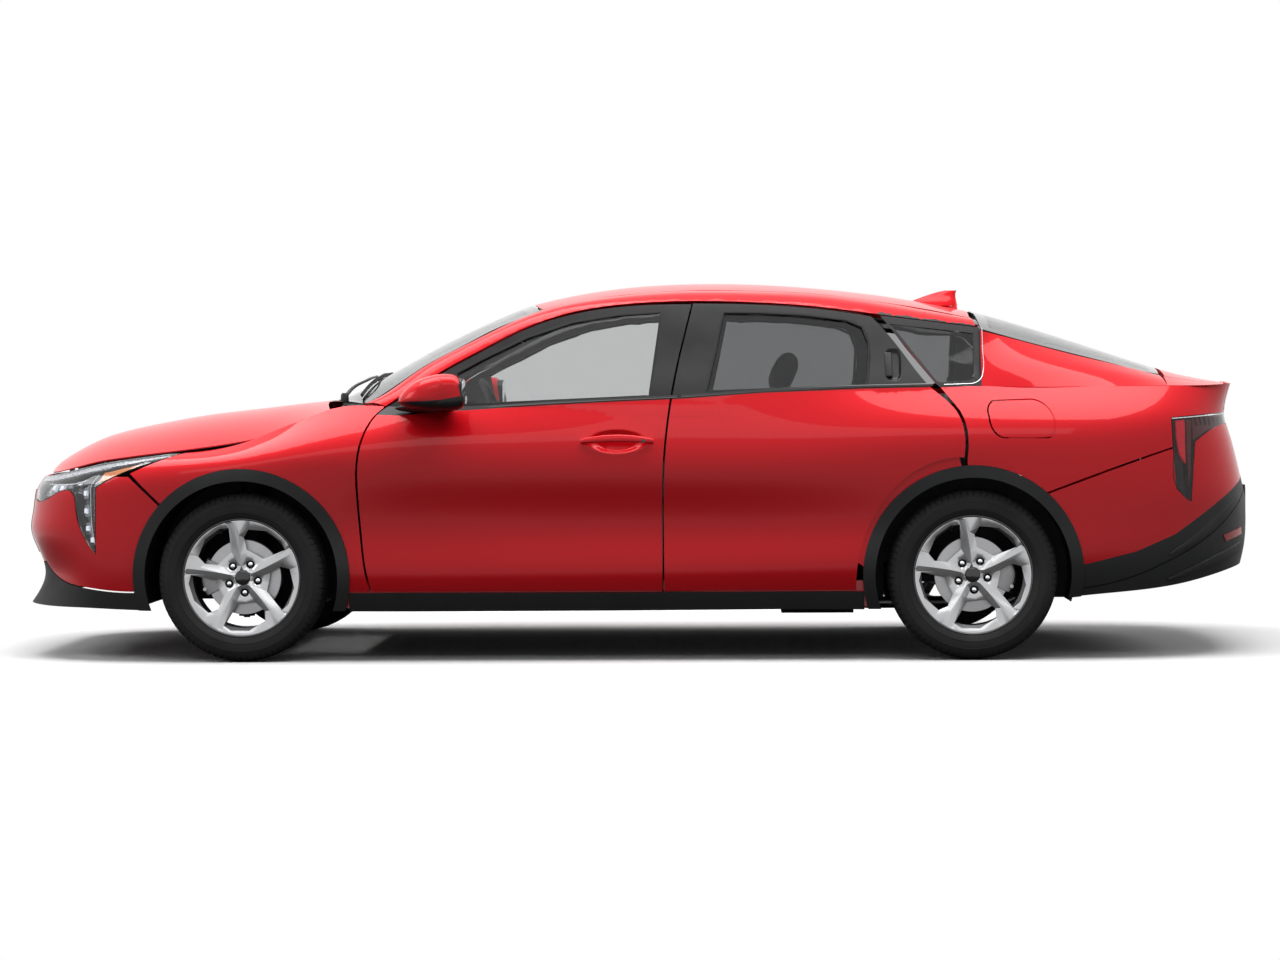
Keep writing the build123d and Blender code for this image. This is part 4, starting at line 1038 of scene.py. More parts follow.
def tyre(name):
    """Tyre with four rings of groove, cut shoulder blocks and a ribbed plain sidewall."""
    half, top = 0.1025, TYRE_RADIUS
    crown = []
    for y in np.linspace(-0.080, 0.080, 33):
        crown.append((top - 0.0006 - 0.0052 * (abs(y) / 0.08) ** 2.6, y))
    profile = []
    for r, y in crown:
        near = [g for g in GROOVES if abs(y - g) < 0.0026]
        if near:
            g = near[0]
            profile += [(r, g - 0.0047), (r - 0.0070, g - 0.0036), (r - 0.0070, g + 0.0036), (r, g + 0.0047)]
        elif not any(abs(y - g) < 0.0050 for g in GROOVES):
            profile.append((r, y))
    wall = [(top - 0.0090, half * 0.86), (top - 0.0160, half * 0.925), (top - 0.0230, half * 0.955),
            (top - 0.0236, half * 0.948), (top - 0.0290, half * 0.972), (top - 0.0400, half * 0.993),
            (top - 0.0406, half * 1.004), (top - 0.0430, half * 1.004), (top - 0.0436, half * 0.996),
            (top - 0.0560, half * 0.998), (top - 0.0680, half * 0.982), (top - 0.0686, half * 0.990),
            (top - 0.0710, half * 0.986), (top - 0.0716, half * 0.972), (0.2360, half * 0.935),
            (0.2290, half * 0.895), (0.2225, half * 0.845), (0.2216, half * 0.80), (0.2125, half * 0.78)]
    profile = profile + wall + [(r, -y) for r, y in wall[::-1]]
    n = len(profile)
    angles, kinds = [], []
    for p in range(TREAD_PITCHES):
        for part, kind in ((0.0, 0), (0.30, 0), (0.60, 0), (0.86, 0), (0.875, 1), (0.985, 1)):
            angles.append(2 * math.pi * (p + part) / TREAD_PITCHES)
            kinds.append(kind)
    verts = []
    for a, kind in zip(angles, kinds):
        for r, y in profile:
            reach = abs(y)
            lean = 0.0
            if kind and r > top - 0.0165 and reach > 0.0625 and reach < half * 0.93:
                r -= 0.0055
            elif kind and 0.0265 < reach < 0.050 and r > top - 0.004:
                r -= 0.0040
            if r > top - 0.02:
                lean = 0.016 * (reach - 0.03) * (1 if y > 0 else -1) / 0.08
            if kind and top - 0.0395 < r < top - 0.0245 and reach > half * 0.95:
                y = math.copysign(reach + 0.0009, y)
            verts.append((r * math.cos(a + lean), y, r * math.sin(a + lean)))
    faces, count = [], len(angles)
    for i in range(count):
        j = (i + 1) % count
        faces += [(i * n + k, i * n + (k + 1) % n, j * n + (k + 1) % n, j * n + k) for k in range(n)]
    return shade(outward(mesh_piece(name, verts, faces, TYRE)), 32.0)


def lug_nut(name, k):
    """Rounded hexagonal nut in one of the five lug pockets."""
    a = math.radians(LUG_STEP * k - LUG_TURN)
    rings = ((0.0098, 0.030), (0.0098, 0.0475), (0.0084, 0.0505), (0.0040, 0.0525), (0.0, 0.053))
    verts, faces, count = [], [], 18
    for r, y in rings:
        for i in range(count):
            t = 2 * math.pi * i / count
            hexed = r * (1 - 0.07 * abs(math.sin(3 * t)))
            verts.append((LUG_CIRCLE * math.cos(a) + hexed * math.cos(t), -y,
                          LUG_CIRCLE * math.sin(a) + hexed * math.sin(t)))
    for s in range(len(rings) - 1):
        for i in range(count):
            j = (i + 1) % count
            faces.append((s * count + i, s * count + j, (s + 1) * count + j, (s + 1) * count + i))
    faces.append(tuple(range(count)))
    return shade(outward(mesh_piece(name, verts, faces, CHROME)), 40.0)


def join(name, objs):
    """Joins scene-less objects of several materials into one mesh object."""
    bm = bmesh.new()
    mats = []
    for o in objs:
        start = len(bm.faces)
        mesh = o.data
        if o.modifiers:
            bpy.context.scene.collection.objects.link(o)
            bake(o)
            mesh = o.data
        matrix = o.matrix_basis
        mesh = mesh.copy()
        mesh.transform(matrix)
        if matrix.determinant() < 0:
            mesh.flip_normals()
        bm.from_mesh(mesh)
        bm.faces.ensure_lookup_table()
        remap = []
        for m in (mesh.materials or [None]):
            if m not in mats:
                mats.append(m)
            remap.append(mats.index(m))
        for f in bm.faces[start:]:
            f.material_index = remap[min(f.material_index, len(remap) - 1)]
        bpy.data.objects.remove(o)
    mesh = bpy.data.meshes.new(name)
    bm.to_mesh(mesh)
    bm.free()
    for m in mats:
        mesh.materials.append(m)
    return bpy.data.objects.new(name, mesh)


def turned(obj, matrix):
    obj.matrix_basis = matrix @ obj.matrix_basis
    return obj


def copy_of(obj, name):
    return bpy.data.objects.new(name, obj.data.copy())


def rounded_box(name, low, high, mat, bevel=0.004, segments=3, taper=1.0):
    """Box with rounded edges, its top drawn in by the taper."""
    (x0, y0, z0), (x1, y1, z1) = low, high
    cx, cy = (x0 + x1) / 2, (y0 + y1) / 2
    verts = [(x0, y0, z0), (x1, y0, z0), (x1, y1, z0), (x0, y1, z0)]
    verts += [(cx + (x - cx) * taper, cy + (y - cy) * taper, z1) for x, y, _ in verts]
    faces = [(3, 2, 1, 0), (4, 5, 6, 7), (0, 1, 5, 4), (1, 2, 6, 5), (2, 3, 7, 6), (3, 0, 4, 7)]
    obj = mesh_piece(name, verts, faces, mat)
    bm = bmesh.new()
    bm.from_mesh(obj.data)
    bmesh.ops.bevel(bm, geom=list(bm.edges), offset=bevel, segments=segments, profile=0.6, affect="EDGES")
    bm.to_mesh(obj.data)
    bm.free()
    return shade(obj, 40.0)


def brake(name):
    """Vented disc with its hat, seen through the spokes."""
    parts = [
        revolved("d1", [(0.078, -0.026), (0.139, -0.026), (0.140, -0.025), (0.140, -0.018), (0.078, -0.018)],
                 STEEL, 96),
        revolved("d2", [(0.078, -0.010), (0.140, -0.010), (0.140, -0.003), (0.139, -0.002), (0.078, -0.002)],
                 STEEL, 96),
        revolved("d3", [(0.0262, -0.044), (0.072, -0.044), (0.076, -0.041), (0.079, -0.026), (0.079, -0.002),
                        (0.070, -0.002),
                        (0.070, -0.036), (0.0262, -0.036)], IRON, 64)]
    for k in range(36):
        vane = rounded_box("v", (0.080, -0.0185, -0.0022), (0.138, -0.0095, 0.0022), IRON, 0.0006, 1)
        parts.append(turned(vane, Matrix.Rotation(2 * math.pi * k / 36, 4, "Y")))
    return join(name, parts)


def make_wheels():
    face = wheel_face("face")
    barrel = revolved("barrel", [
        (0.2145, -0.0835), (0.2160, -0.0860), (0.2185, -0.0878), (0.2210, -0.0875), (0.2210, -0.0825),
        (0.2115, -0.0790), (0.2105, -0.0500), (0.1960, -0.0420), (0.1950, 0.0450), (0.2095, 0.0560),
        (0.2100, 0.0790), (0.2210, 0.0830), (0.2210, 0.0880), (0.2020, 0.0875), (0.1900, 0.0500),
        (0.1890, -0.0450), (0.2040, -0.0560), (0.2080, -0.0780)], BARREL, 120)
    cap = revolved("cap", [(0.0001, -0.0650), (0.020, -0.0645), (0.0262, -0.0620), (0.0288, -0.0585),
                           (0.0288, -0.046), (0.0001, -0.046)], GLOSS, 48)
    hub = revolved("hub", [(0.0258, -0.0440), (0.0700, -0.0440), (0.0760, -0.0380), (0.0720, -0.0375),
                           (0.0255, -0.0375)], BARREL, 60)
    nuts = [lug_nut(f"nut{k}", k) for k in range(SPOKES)]
    cups = []
    for k in range(SPOKES):
        a = math.radians(LUG_STEP * k - LUG_TURN)
        cup = revolved("cup", [(0.0146, -0.054), (0.0149, -0.054), (0.0149, -0.041), (0.0001, -0.041),
                               (0.0001, -0.042), (0.0146, -0.042)],
                       GLOSS, 24)
        cups.append(turned(cup, Matrix.Translation((LUG_CIRCLE * math.cos(a), 0, LUG_CIRCLE * math.sin(a)))))
    valve = revolved("valve", [(0.0001, -0.026), (0.0028, -0.026), (0.0034, -0.010), (0.0046, 0.004),
                               (0.0001, 0.004)], RUBBER, 16)
    turned(valve, Matrix.Translation((0.184 * math.cos(0.35), -0.050, 0.184 * math.sin(0.35))))
    spin = Matrix.Rotation(math.radians(-95.0), 4, "Y")
    wheel = join("wheel", [face, barrel, cap, hub, valve] + nuts + cups)
    shade(wheel, 28.0)
    rubber = tyre("rubber")
    disc = brake("disc")
    for end, x in (("front", FRONT_HUB_X), ("rear", REAR_HUB_X)):
        for side_name, s in HANDS:
            here = Matrix.Translation((x, s * TRACK_HALF, HUB_Z))
            if s > 0:
                here = here @ Matrix.Diagonal((1, -1, 1, 1))
            turn = here @ spin
            for source, label, replaces, slot_name in (
                    (wheel, "wheel", [f"{side_name}_{end}_wheel"], "alloy"),
                    (rubber, "tyre", [f"{side_name}_{end}_tyre"], "tyre"),
                    (disc, "disc", [], "alloy")):
                obj = copy_of(source, f"{side_name}_{end}_{label}_detailed")
                obj.data.transform(turn)
                if s > 0:
                    obj.data.flip_normals()
                place(obj, f"{side_name}_{end}_wheel", slot_name, replaces)
    for o in (wheel, rubber, disc):
        bpy.data.objects.remove(o)


make_wheels()


# ---------------------------------------------------------------- helpers for parts that lie on the body
def sheet_from(name, node, surfaces, mats, lift, thick, pick, lines=(), longest=0.02, slot=None, replaces=(),
               rim=0.0):
    """Sheet over part of a packed panel's outer skin, lifted off the true surface.

    A rim turns it into a tray."""
    bm = bmesh_of(node)
    for line in lines:
        cut_along(bm, line)
    true = refine(bm, surfaces, longest)
    normals = {v: true[v.index] for v in bm.verts if v.index in true}
    keep = set()
    for f in bm.faces:
        if all(v in normals for v in f.verts):
            kind = pick(f.calc_center_median())
            if kind is not None:
                f.material_index = kind
                keep.add(f)
    bmesh.ops.delete(bm, geom=[f for f in bm.faces if f not in keep], context="FACES")
    for v in bm.verts:
        v.co += normals[v] * lift
    if rim:
        border = [e for e in bm.edges if len(e.link_faces) == 1]
        made = bmesh.ops.extrude_edge_only(bm, edges=border)
        ends = {v for v in made["geom"] if isinstance(v, bmesh.types.BMVert)}
        for v in ends:
            near = min((w for e in v.link_edges for w in e.verts if w not in ends),
                       key=lambda w: (w.co - v.co).length)
            v.co += normals[near] * rim
    mesh = bpy.data.meshes.new(name)
    bm.to_mesh(mesh)
    bm.free()
    for m in mats:
        mesh.materials.append(m)
    obj = bpy.data.objects.new(name, mesh)
    place(obj, body_of_node(node), slot, replaces)
    solid = obj.modifiers.new("thick", "SOLIDIFY")
    solid.thickness, solid.offset = thick, -1
    bake(obj)
    return shade(obj, 30.0)


def on_side(i, x, z, surface=None):
    """Point and outward normal of the body side at x, z in mm; i is 0 on the left."""
    s = (-1, 1)[i]
    for skin_surface in ([surface] if surface else (GLASSHOUSE[i], SIDE[i]) if z > 960
                         else (SIDE[i], GLASSHOUSE[i])):
        where = skin_surface.tree.ray_cast(Vector((x * MM, s * 2, z * MM)), Vector((0, -s, 0)), 3)[0]
        if where is not None:
            return where, skin_surface.nearest(where, 0.01)[1]
    raise ValueError(f"no side surface at {x}, {z}")


def on_top(surface, x, y):
    """Point and normal under (x, y) in mm on a surface that faces up."""
    where = surface.tree.ray_cast(Vector((x * MM, y * MM, 3)), Vector((0, 0, -1)), 4)[0]
    return where, surface.nearest(where, 0.01)[1]


def frame_at(point, normal):
    """Matrix whose Z is the surface normal and whose Y is as near as can be to straight up."""
    z = Vector(normal).normalized()
    x = Vector((0, 0, 1)).cross(z).normalized()
    y = z.cross(x)
    turn = Matrix((x, y, z)).transposed().to_4x4()
    return Matrix.Translation(point) @ turn


def swept(name, points, section, mat, normals=None, closed=False):
    """Sweeps a closed (across, out) section along points; out follows the given normals."""
    points = [Vector(p) for p in points]
    n, m = len(points), 0
    verts = []
    for k, p in enumerate(points):
        a = points[k - 1] if k or closed else p
        b = points[(k + 1) % n] if k < n - 1 or closed else p
        along = (b - a).normalized()
        out = Vector(normals[k]) if normals else Vector((0, 0, 1))
        across = along.cross(out).normalized()
        out = across.cross(along)
        shape = section(k / (n - 1)) if callable(section) else section
        m = len(shape)
        verts += [p + across * u + out * v for u, v in shape]
    faces = []
    for k in range(n if closed else n - 1):
        j = (k + 1) % n
        faces += [(k * m + q, k * m + (q + 1) % m, j * m + (q + 1) % m, j * m + q) for q in range(m)]
    if not closed:
        faces += [tuple(range(m))[::-1], tuple((n - 1) * m + q for q in range(m))]
    return shade(outward(mesh_piece(name, verts, faces, mat)), 40.0)


def ring(width, height, count=12, power=2.0):
    """Rounded section, flat-sided for a high power."""
    made = []
    for k in range(count):
        a = 2 * math.pi * k / count
        c, s = math.cos(a), math.sin(a)
        made.append((width / 2 * bent(c, 2 / power), height / 2 * bent(s, 2 / power)))
    return made


def curve_through(points, count):
    """Even run of points on a smooth curve through the given ones."""
    pts = np.asarray(points, float)
    t = np.concatenate([[0], np.cumsum(np.linalg.norm(np.diff(pts, axis=0), axis=1))])
    u = np.linspace(0, t[-1], count)
    slopes = np.gradient(pts, t, axis=0)
    made = []
    for value in u:
        k = min(int(np.searchsorted(t, value, side="right")) - 1, len(t) - 2)
        h = t[k + 1] - t[k]
        q = (value - t[k]) / h
        a, b = 2 * q ** 3 - 3 * q ** 2 + 1, q ** 3 - 2 * q ** 2 + q
        c, d = -2 * q ** 3 + 3 * q ** 2, q ** 3 - q ** 2
        made.append(pts[k] * a + slopes[k] * h * b + pts[k + 1] * c + slopes[k + 1] * h * d)
    return made


def along_side(i, line, count, lift=0.0):
    """Points and normals on the side under a smooth line through (x, z) points in mm."""
    points, normals = [], []
    for x, z in curve_through(line, count):
        p, n = on_side(i, x, z)
        points.append(p + n * lift)
        normals.append(n)
    return points, normals


def lofted(name, sections, mat, smooth):
    """Closed skin through rings of equal count, given in metres."""
    n, m = len(sections), len(sections[0])
    verts = [Vector(v) for s in sections for v in s]
    faces = []
    for k in range(n - 1):
        faces += [(k * m + q, k * m + (q + 1) % m, (k + 1) * m + (q + 1) % m, (k + 1) * m + q)
                  for q in range(m)]
    faces += [tuple(range(m))[::-1], tuple((n - 1) * m + q for q in range(m))]
    return shade(outward(mesh_piece(name, verts, faces, mat)), smooth)


def flipped(obj):
    """Copy of a scene-less piece on the right of the car."""
    other = copy_of(obj, obj.name + "_right")
    other.data.transform(Matrix.Diagonal((1, -1, 1, 1)))
    other.data.flip_normals()
    return other


def pair(obj, node, slot=None, replaces=()):
    """Places a left-hand piece and its mirror image on left_ and right_ bodies, or on one shared body."""
    other = flipped(obj)
    for o, side_name in ((obj, "left"), (other, "right")):
        o.name = f"{side_name}_{node}_{obj.name}" if o is obj else o.name
        body = body_of_node(f"{side_name}_{node}") if f"{side_name}_{node}" in NODES else "body"
        place(o, body, slot, [r.format(side_name) for r in replaces])


# ---------------------------------------------------------------- lamps, grille and plates
STRIP_LOW = [(-2.360, 0.668), (-2.302, 0.672), (-2.206, 0.681), (-2.149, 0.692), (-1.998, 0.7265),
             (-1.840, 0.7545), (-1.640, 0.790)]
AMBER_AREA = [(-2.006, 0.672), (-1.984, 0.712), (-1.832, 0.747), (-1.884, 0.722), (-1.944, 0.698)]
LEG_BLADE = [(-2004, 706), (-2034, 664), (-2036, 600), (-2030, 500), (-2019, 440)]
LEDS = ((-2066, 634), (-2062, 566), (-2055, 500), (-2036, 456))


def stud(name, i, x, z, size, lift, mat):
    """Small rounded block on the body side."""
    point, normal = on_side(i, x, z)
    w, h, d = size
    box = rounded_box(name, (-w / 2, -h / 2, 0), (w / 2, h / 2, d), mat, 0.0015, 2, 0.86)
    box.matrix_basis = frame_at(point + normal * lift, normal)
    return box


def everywhere(_):
    """Picks every face of a panel for the first material."""
    return 0


def make_headlamps():
    sheet_from("headlamp_lens", "headlights", SIDE, [LENS], -0.0008, 0.0026, everywhere, (), 0.02, "lamp_lens",
               ["headlights"])
    sheet_from("headlamp_tray", "headlights", SIDE, [GLOSS], -0.034, 0.002, everywhere, (), 0.02, "lamp_lens",
               rim=0.0305)
    sheet_from("headlamp_strip", "headlights", SIDE, [SILVER], -0.0075, 0.006,
               lambda p: 0 if not below(STRIP_LOW, p.x, p.z) else None, [STRIP_LOW], 0.015, "lamp_lens")
    sheet_from("headlamp_marker", "headlights", SIDE, [AMBER], -0.009, 0.005,
               lambda p: 0 if inside_area(AMBER_AREA, p.x, p.z) else None, area_cuts(AMBER_AREA), 0.012,
               "lamp_lens")
    for i, side_name in SIDES:
        points, normals = along_side(i, LEG_BLADE, 26, lift=-0.014)
        parts = [swept("blade", points, ring(0.0035, 0.016, 8, 4.0), SILVER, normals)]
        shelf, shelf_normals = along_side(i, [(-2240, 668), (-2170, 668), (-2110, 672), (-2060, 684)], 16,
                                          lift=-0.020)
        parts.append(swept("shelf", shelf, ring(0.005, 0.020, 8, 4.0), CHROME, shelf_normals))
        for x, z in LEDS:
            parts.append(stud("led", i, x, z, (0.017, 0.020, 0.010), -0.024, GLOW))
            parts.append(stud("led_frame", i, x, z, (0.030, 0.050, 0.008), -0.031, SMOKED_CHROME))
        for x, z in ((-2218, 655), (-2178, 655), (-2136, 662), (-2096, 672)):
            parts.append(stud("projector", i, x, z, (0.028, 0.022, 0.012), -0.026,
                              GLOW if x < -2150 else SMOKED_CHROME))
        place(join(f"{side_name}_headlamp_optics", parts), "body", "lamp_lens")


TAIL_RED = [(2.018, 0.884), (2.053, 0.886), (2.053, 0.724), (2.031, 0.757), (2.020, 0.821)]
TAIL_BLADE = [(2.058, 0.886), (2.078, 0.888), (2.074, 0.700), (2.064, 0.640)]
TAIL_ARM = [(2.084, 0.896), (2.271, 0.908), (2.271, 0.874), (2.200, 0.868), (2.140, 0.843), (2.086, 0.808)]


def make_tail_lamps():
    sheet_from("tail_lens", "taillights", SIDE, [SMOKE], -0.0008, 0.0026, everywhere, (), 0.02, "tail_lens",
               ["taillights"])
    sheet_from("tail_tray", "taillights", SIDE, [GLOSS], -0.024, 0.002, everywhere, (), 0.02, "tail_lens",
               rim=0.0205)
    for name, area, mat, lift in (("tail_light", TAIL_RED, BRIGHT_RED, -0.008),
                                  ("tail_blade", TAIL_BLADE, RED_LENS, -0.007),
                                  ("tail_arm", TAIL_ARM, RED_LENS, -0.009)):
        sheet_from(name, "taillights", SIDE, [mat], lift, 0.006,
                   lambda p, a=area: 0 if inside_area(a, p.x, p.z) else None, area_cuts(area), 0.012,
                   "tail_lens")
    for i, side_name in SIDES:
        points, normals = along_side(i, [(1999, 890), (2060, 894), (2160, 901), (2262, 908)], 30, lift=-0.002)
        parts = [swept("edge", points, ring(0.004, 0.006, 8, 4.0), SILVER, normals)]
        points, normals = along_side(i, [(2000, 888), (2003, 772), (2013, 640), (2040, 606), (2062, 586)], 30,
                                     lift=-0.002)
        parts.append(swept("front", points, ring(0.004, 0.006, 8, 4.0), TRIM, normals))
        for k in range(9):
            x = 2098 + 20 * k
            parts.append(stud("rib", i, x, 880, (0.0022, 0.034, 0.006), -0.009, GLOSS))
        place(join(f"{side_name}_tail_lamp_trim", parts), "body", "tail_lens")


def front_x(y, z):
    """X of the nose at a height, in metres, from the side surface."""
    for surface in SIDE:
        where = surface.tree.ray_cast(Vector((-4, y, z)), Vector((1, 0, 0)), 4)[0]
        if where is not None:
            return where.x
    return -2.28


def make_grille():
    """Blades and a mesh behind them fill the nose opening; the plate holder is blank."""
    parts = []
    for k in range(7):
        z = 0.412 + 0.036 * k
        run = [Vector((front_x(y, z) + 0.006, y, z)) for y in np.linspace(-0.462, 0.462, 49)]
        parts.append(swept("bar", run, ring(0.011, 0.016, 10, 3.0), GLOSS, [(-1, 0, 0)] * 49))
    for k in range(38):
        y = -0.444 + 0.024 * k
        run = [Vector((front_x(y, z) + 0.012, y + 0.004 * math.sin(60 * z), z))
               for z in np.linspace(0.400, 0.636, 9)]
        parts.append(swept("web", run, ring(0.004, 0.008, 6), TRIM, [(-1, 0, 0)] * 9))
    back = []
    for z in (0.398, 0.638):
        back.append([Vector((front_x(y, z) + 0.030, y, z)) for y in np.linspace(-0.468, 0.468, 25)])
    verts = back[0] + back[1]
    faces = [(k, k + 1, k + 26, k + 25) for k in range(24)]
    plate = mesh_piece("back", verts, faces, RUBBER)
    plate.modifiers.new("thick", "SOLIDIFY").thickness = 0.002
    parts.append(plate)
    frame = []
    for z, y in ((0.401, -1), (0.401, 1), (0.636, 1), (0.636, -1)):
        frame.append((y * 0.462, z))
    outline_run = []
    for (y0, z0), (y1, z1) in zip(frame, frame[1:] + frame[:1]):
        outline_run += [(y0 + (y1 - y0) * t, z0 + (z1 - z0) * t) for t in np.linspace(0, 1, 20, endpoint=False)]
    run = [Vector((front_x(y, z) + 0.003, y, z)) for y, z in outline_run]
    parts.append(swept("surround", run, ring(0.010, 0.012, 8, 3.0), GLOSS, [(-1, 0, 0)] * len(run),
                       closed=True))
    place(join("nose_grille", parts), "body", "black_plastic", ["front_grille"])
    holder = rounded_box("front_plate_holder", (-0.265, -0.062, 0), (0.265, 0.062, 0.008), TRIM, 0.004, 2, 0.99)
    blank = rounded_box("blank", (-0.255, -0.052, 0.007), (0.255, 0.052, 0.010), PLATE, 0.002, 2, 1.0)
    both_parts = join("front_plate_blank", [holder, blank])
    both_parts.data.transform(frame_at(Vector((front_x(0, 0.52) - 0.004, 0, 0.52)), (-1, 0, 0.02)))
    place(both_parts, "body", "black_plastic")


make_headlamps()
make_tail_lamps()
make_grille()


# ---------------------------------------------------------------- handles, mirrors, window trim, cowl, fin
def make_handles():
    line = [(x, HANDLE_Z / MM + 7 * math.sin(math.pi * (x + 186) / 262)) for x in range(-186, 80, 8)]
    points, normals = along_side(0, line, 40)
    centre = [p + n * (0.006 + 0.018 * math.sin(math.pi * k / 39) ** 0.5) for k,
              (p, n) in enumerate(zip(points, normals))]
    bar = swept("handle", centre, lambda t: ring(0.010
                                                 + 0.018 * math.sin(math.pi * min(max(t, 0.03), 0.97)) ** 0.35,
                                                 0.013, 16, 2.6),
                PAINT, normals)
    lock = revolved("lock", [(0.0001, -0.001), (0.0062, -0.001), (0.0070, 0.0), (0.0070, 0.006),
                             (0.0001, 0.006)], GLOSS, 24)
    lock.data.transform(Matrix.Rotation(math.radians(-90), 4, "X"))
    lock.data.transform(frame_at(on_side(0, 44, HANDLE_Z / MM + 4)[0] + Vector((0, -0.0245, 0)), (0, -1, 0))
                        @ Matrix.Rotation(math.pi, 4, "X"))
    pair(join("handle", [bar, lock]), "front_door", "body_paint")
    point, normal = on_side(0, PULL_X / MM, PULL_Z / MM)
    pull = rounded_box("pull", (-0.015, -0.054, 0), (0.015, 0.054, 0.010), TRIM, 0.004, 3, 0.92)
    pull.data.transform(frame_at(point - normal * 0.006, normal))
    pair(join("pull", [pull]), "rear_door", "black_plastic")


MIRROR_OUTLINE = [(-862, 968), (-842, 1008), (-800, 1042), (-748, 1062), (-700, 1070), (-655, 1066),
                  (-634, 1046), (-624, 1004), (-618, 958), (-640, 938), (-700, 934), (-770, 938), (-830, 948)]
MIRROR_SPLIT = [(-0.900, 0.966), (-0.780, 0.970), (-0.700, 0.974), (-0.600, 0.992)]


def closed_curve(points, count):
    """Even run of points on a smooth closed curve through the given ones."""
    pts = [Vector(p) for p in points]
    n, made = len(pts), []
    for k in range(count):
        t = k * n / count
        j, q = int(t), t - int(t)
        a, b, c, d = (pts[(j + m) % n] for m in (-1, 0, 1, 2))
        made.append(0.5 * ((2 * b) + (c - a) * q + (2 * a - 5 * b + 4 * c - d) * q * q
                           + (3 * b - a - 3 * c + d) * q ** 3))
    return made


def make_mirrors():
    shape = closed_curve([(x * MM, z * MM, 0) for x, z in MIRROR_OUTLINE], 72)
    middle = Vector((-0.690, 1.000, 0))
    sections = []
    for y, k, back in ((-0.882, 0.60, 0.0), (-0.890, 0.80, 0.0), (-0.905, 0.93, 0.0), (-0.935, 1.0, 0.0),
                       (-0.975, 1.0, 0.004), (-1.010, 0.95, 0.010), (-1.036, 0.84, 0.020),
                       (-1.050, 0.66, 0.030), (-1.056, 0.40, 0.040)):
        sections.append([(middle.x + (p.x - middle.x) * k + back, y, middle.y + (p.y - middle.y) * k)
                         for p in shape])
    head = lofted("head", sections, PAINT, 40.0)
    bm = bmesh.new()
    bm.from_mesh(head.data)
    cut_along(bm, MIRROR_SPLIT)
    bm.normal_update()
    for f in bm.faces:
        c = f.calc_center_median()
        f.material_index = 1 if below(MIRROR_SPLIT, c.x, c.z) or c.x > -0.628 else 0
    bm.to_mesh(head.data)
    bm.free()
    head.data.materials.append(TRIM)
    shade(head, 40.0)
    ring_yz = [(-0.968 + 0.072 * bent(math.cos(a), 0.55), 1.004 + 0.050 * bent(math.sin(a), 0.6))
               for a in round_angles(48)]
    bezel = lofted("bezel", [[(-0.655, y, z) for y, z in ring_yz], [(-0.619, y, z) for y, z in ring_yz],
                             [(-0.6165, -0.968 + (y + 0.968) * 0.97, 1.004 + (z - 1.004) * 0.96) for y,
                              z in ring_yz]], TRIM, 30.0)
    glass = lofted("glass", [[(-0.620, -0.968 + (y + 0.968) * 0.92, 1.004 + (z - 1.004) * 0.90) for y,
                              z in ring_yz],
                             [(-0.6158, -0.968 + (y + 0.968) * 0.92, 1.004 + (z - 1.004) * 0.90) for y,
                              z in ring_yz]], MIRROR_GLASS, 30.0)
    arm_sections = []
    for t in np.linspace(0, 1, 9):
        centre = Vector((-0.775 + 0.045 * t, -0.846 - 0.085 * t, 0.944 + 0.016 * t))
        half_x, half_z = 0.110 - 0.050 * t, 0.017 + 0.010 * t
        arm_sections.append([centre + Vector((half_x * math.cos(a), 0, half_z * math.sin(a)))
                             for a in round_angles(24)])
    arm = lofted("arm", arm_sections, TRIM, 45.0)
    pair(join("shell", [head, bezel, glass, arm]), "mirror", "body_paint", ["{}_mirror"])


def lay_strip(name, i, line, section, mat, body, slot_name="black_plastic", sunk=0.0, closed=False):
    """Moulding along a line of (x, z) points in mm on the glasshouse, sunk into it by a depth."""
    found = [on_side(i, x, z, GLASSHOUSE[i]) for x, z in line]
    strip = swept(name, [p - n * sunk for p, n in found], section, mat, [n for _, n in found], closed)
    place(strip, body, slot_name)


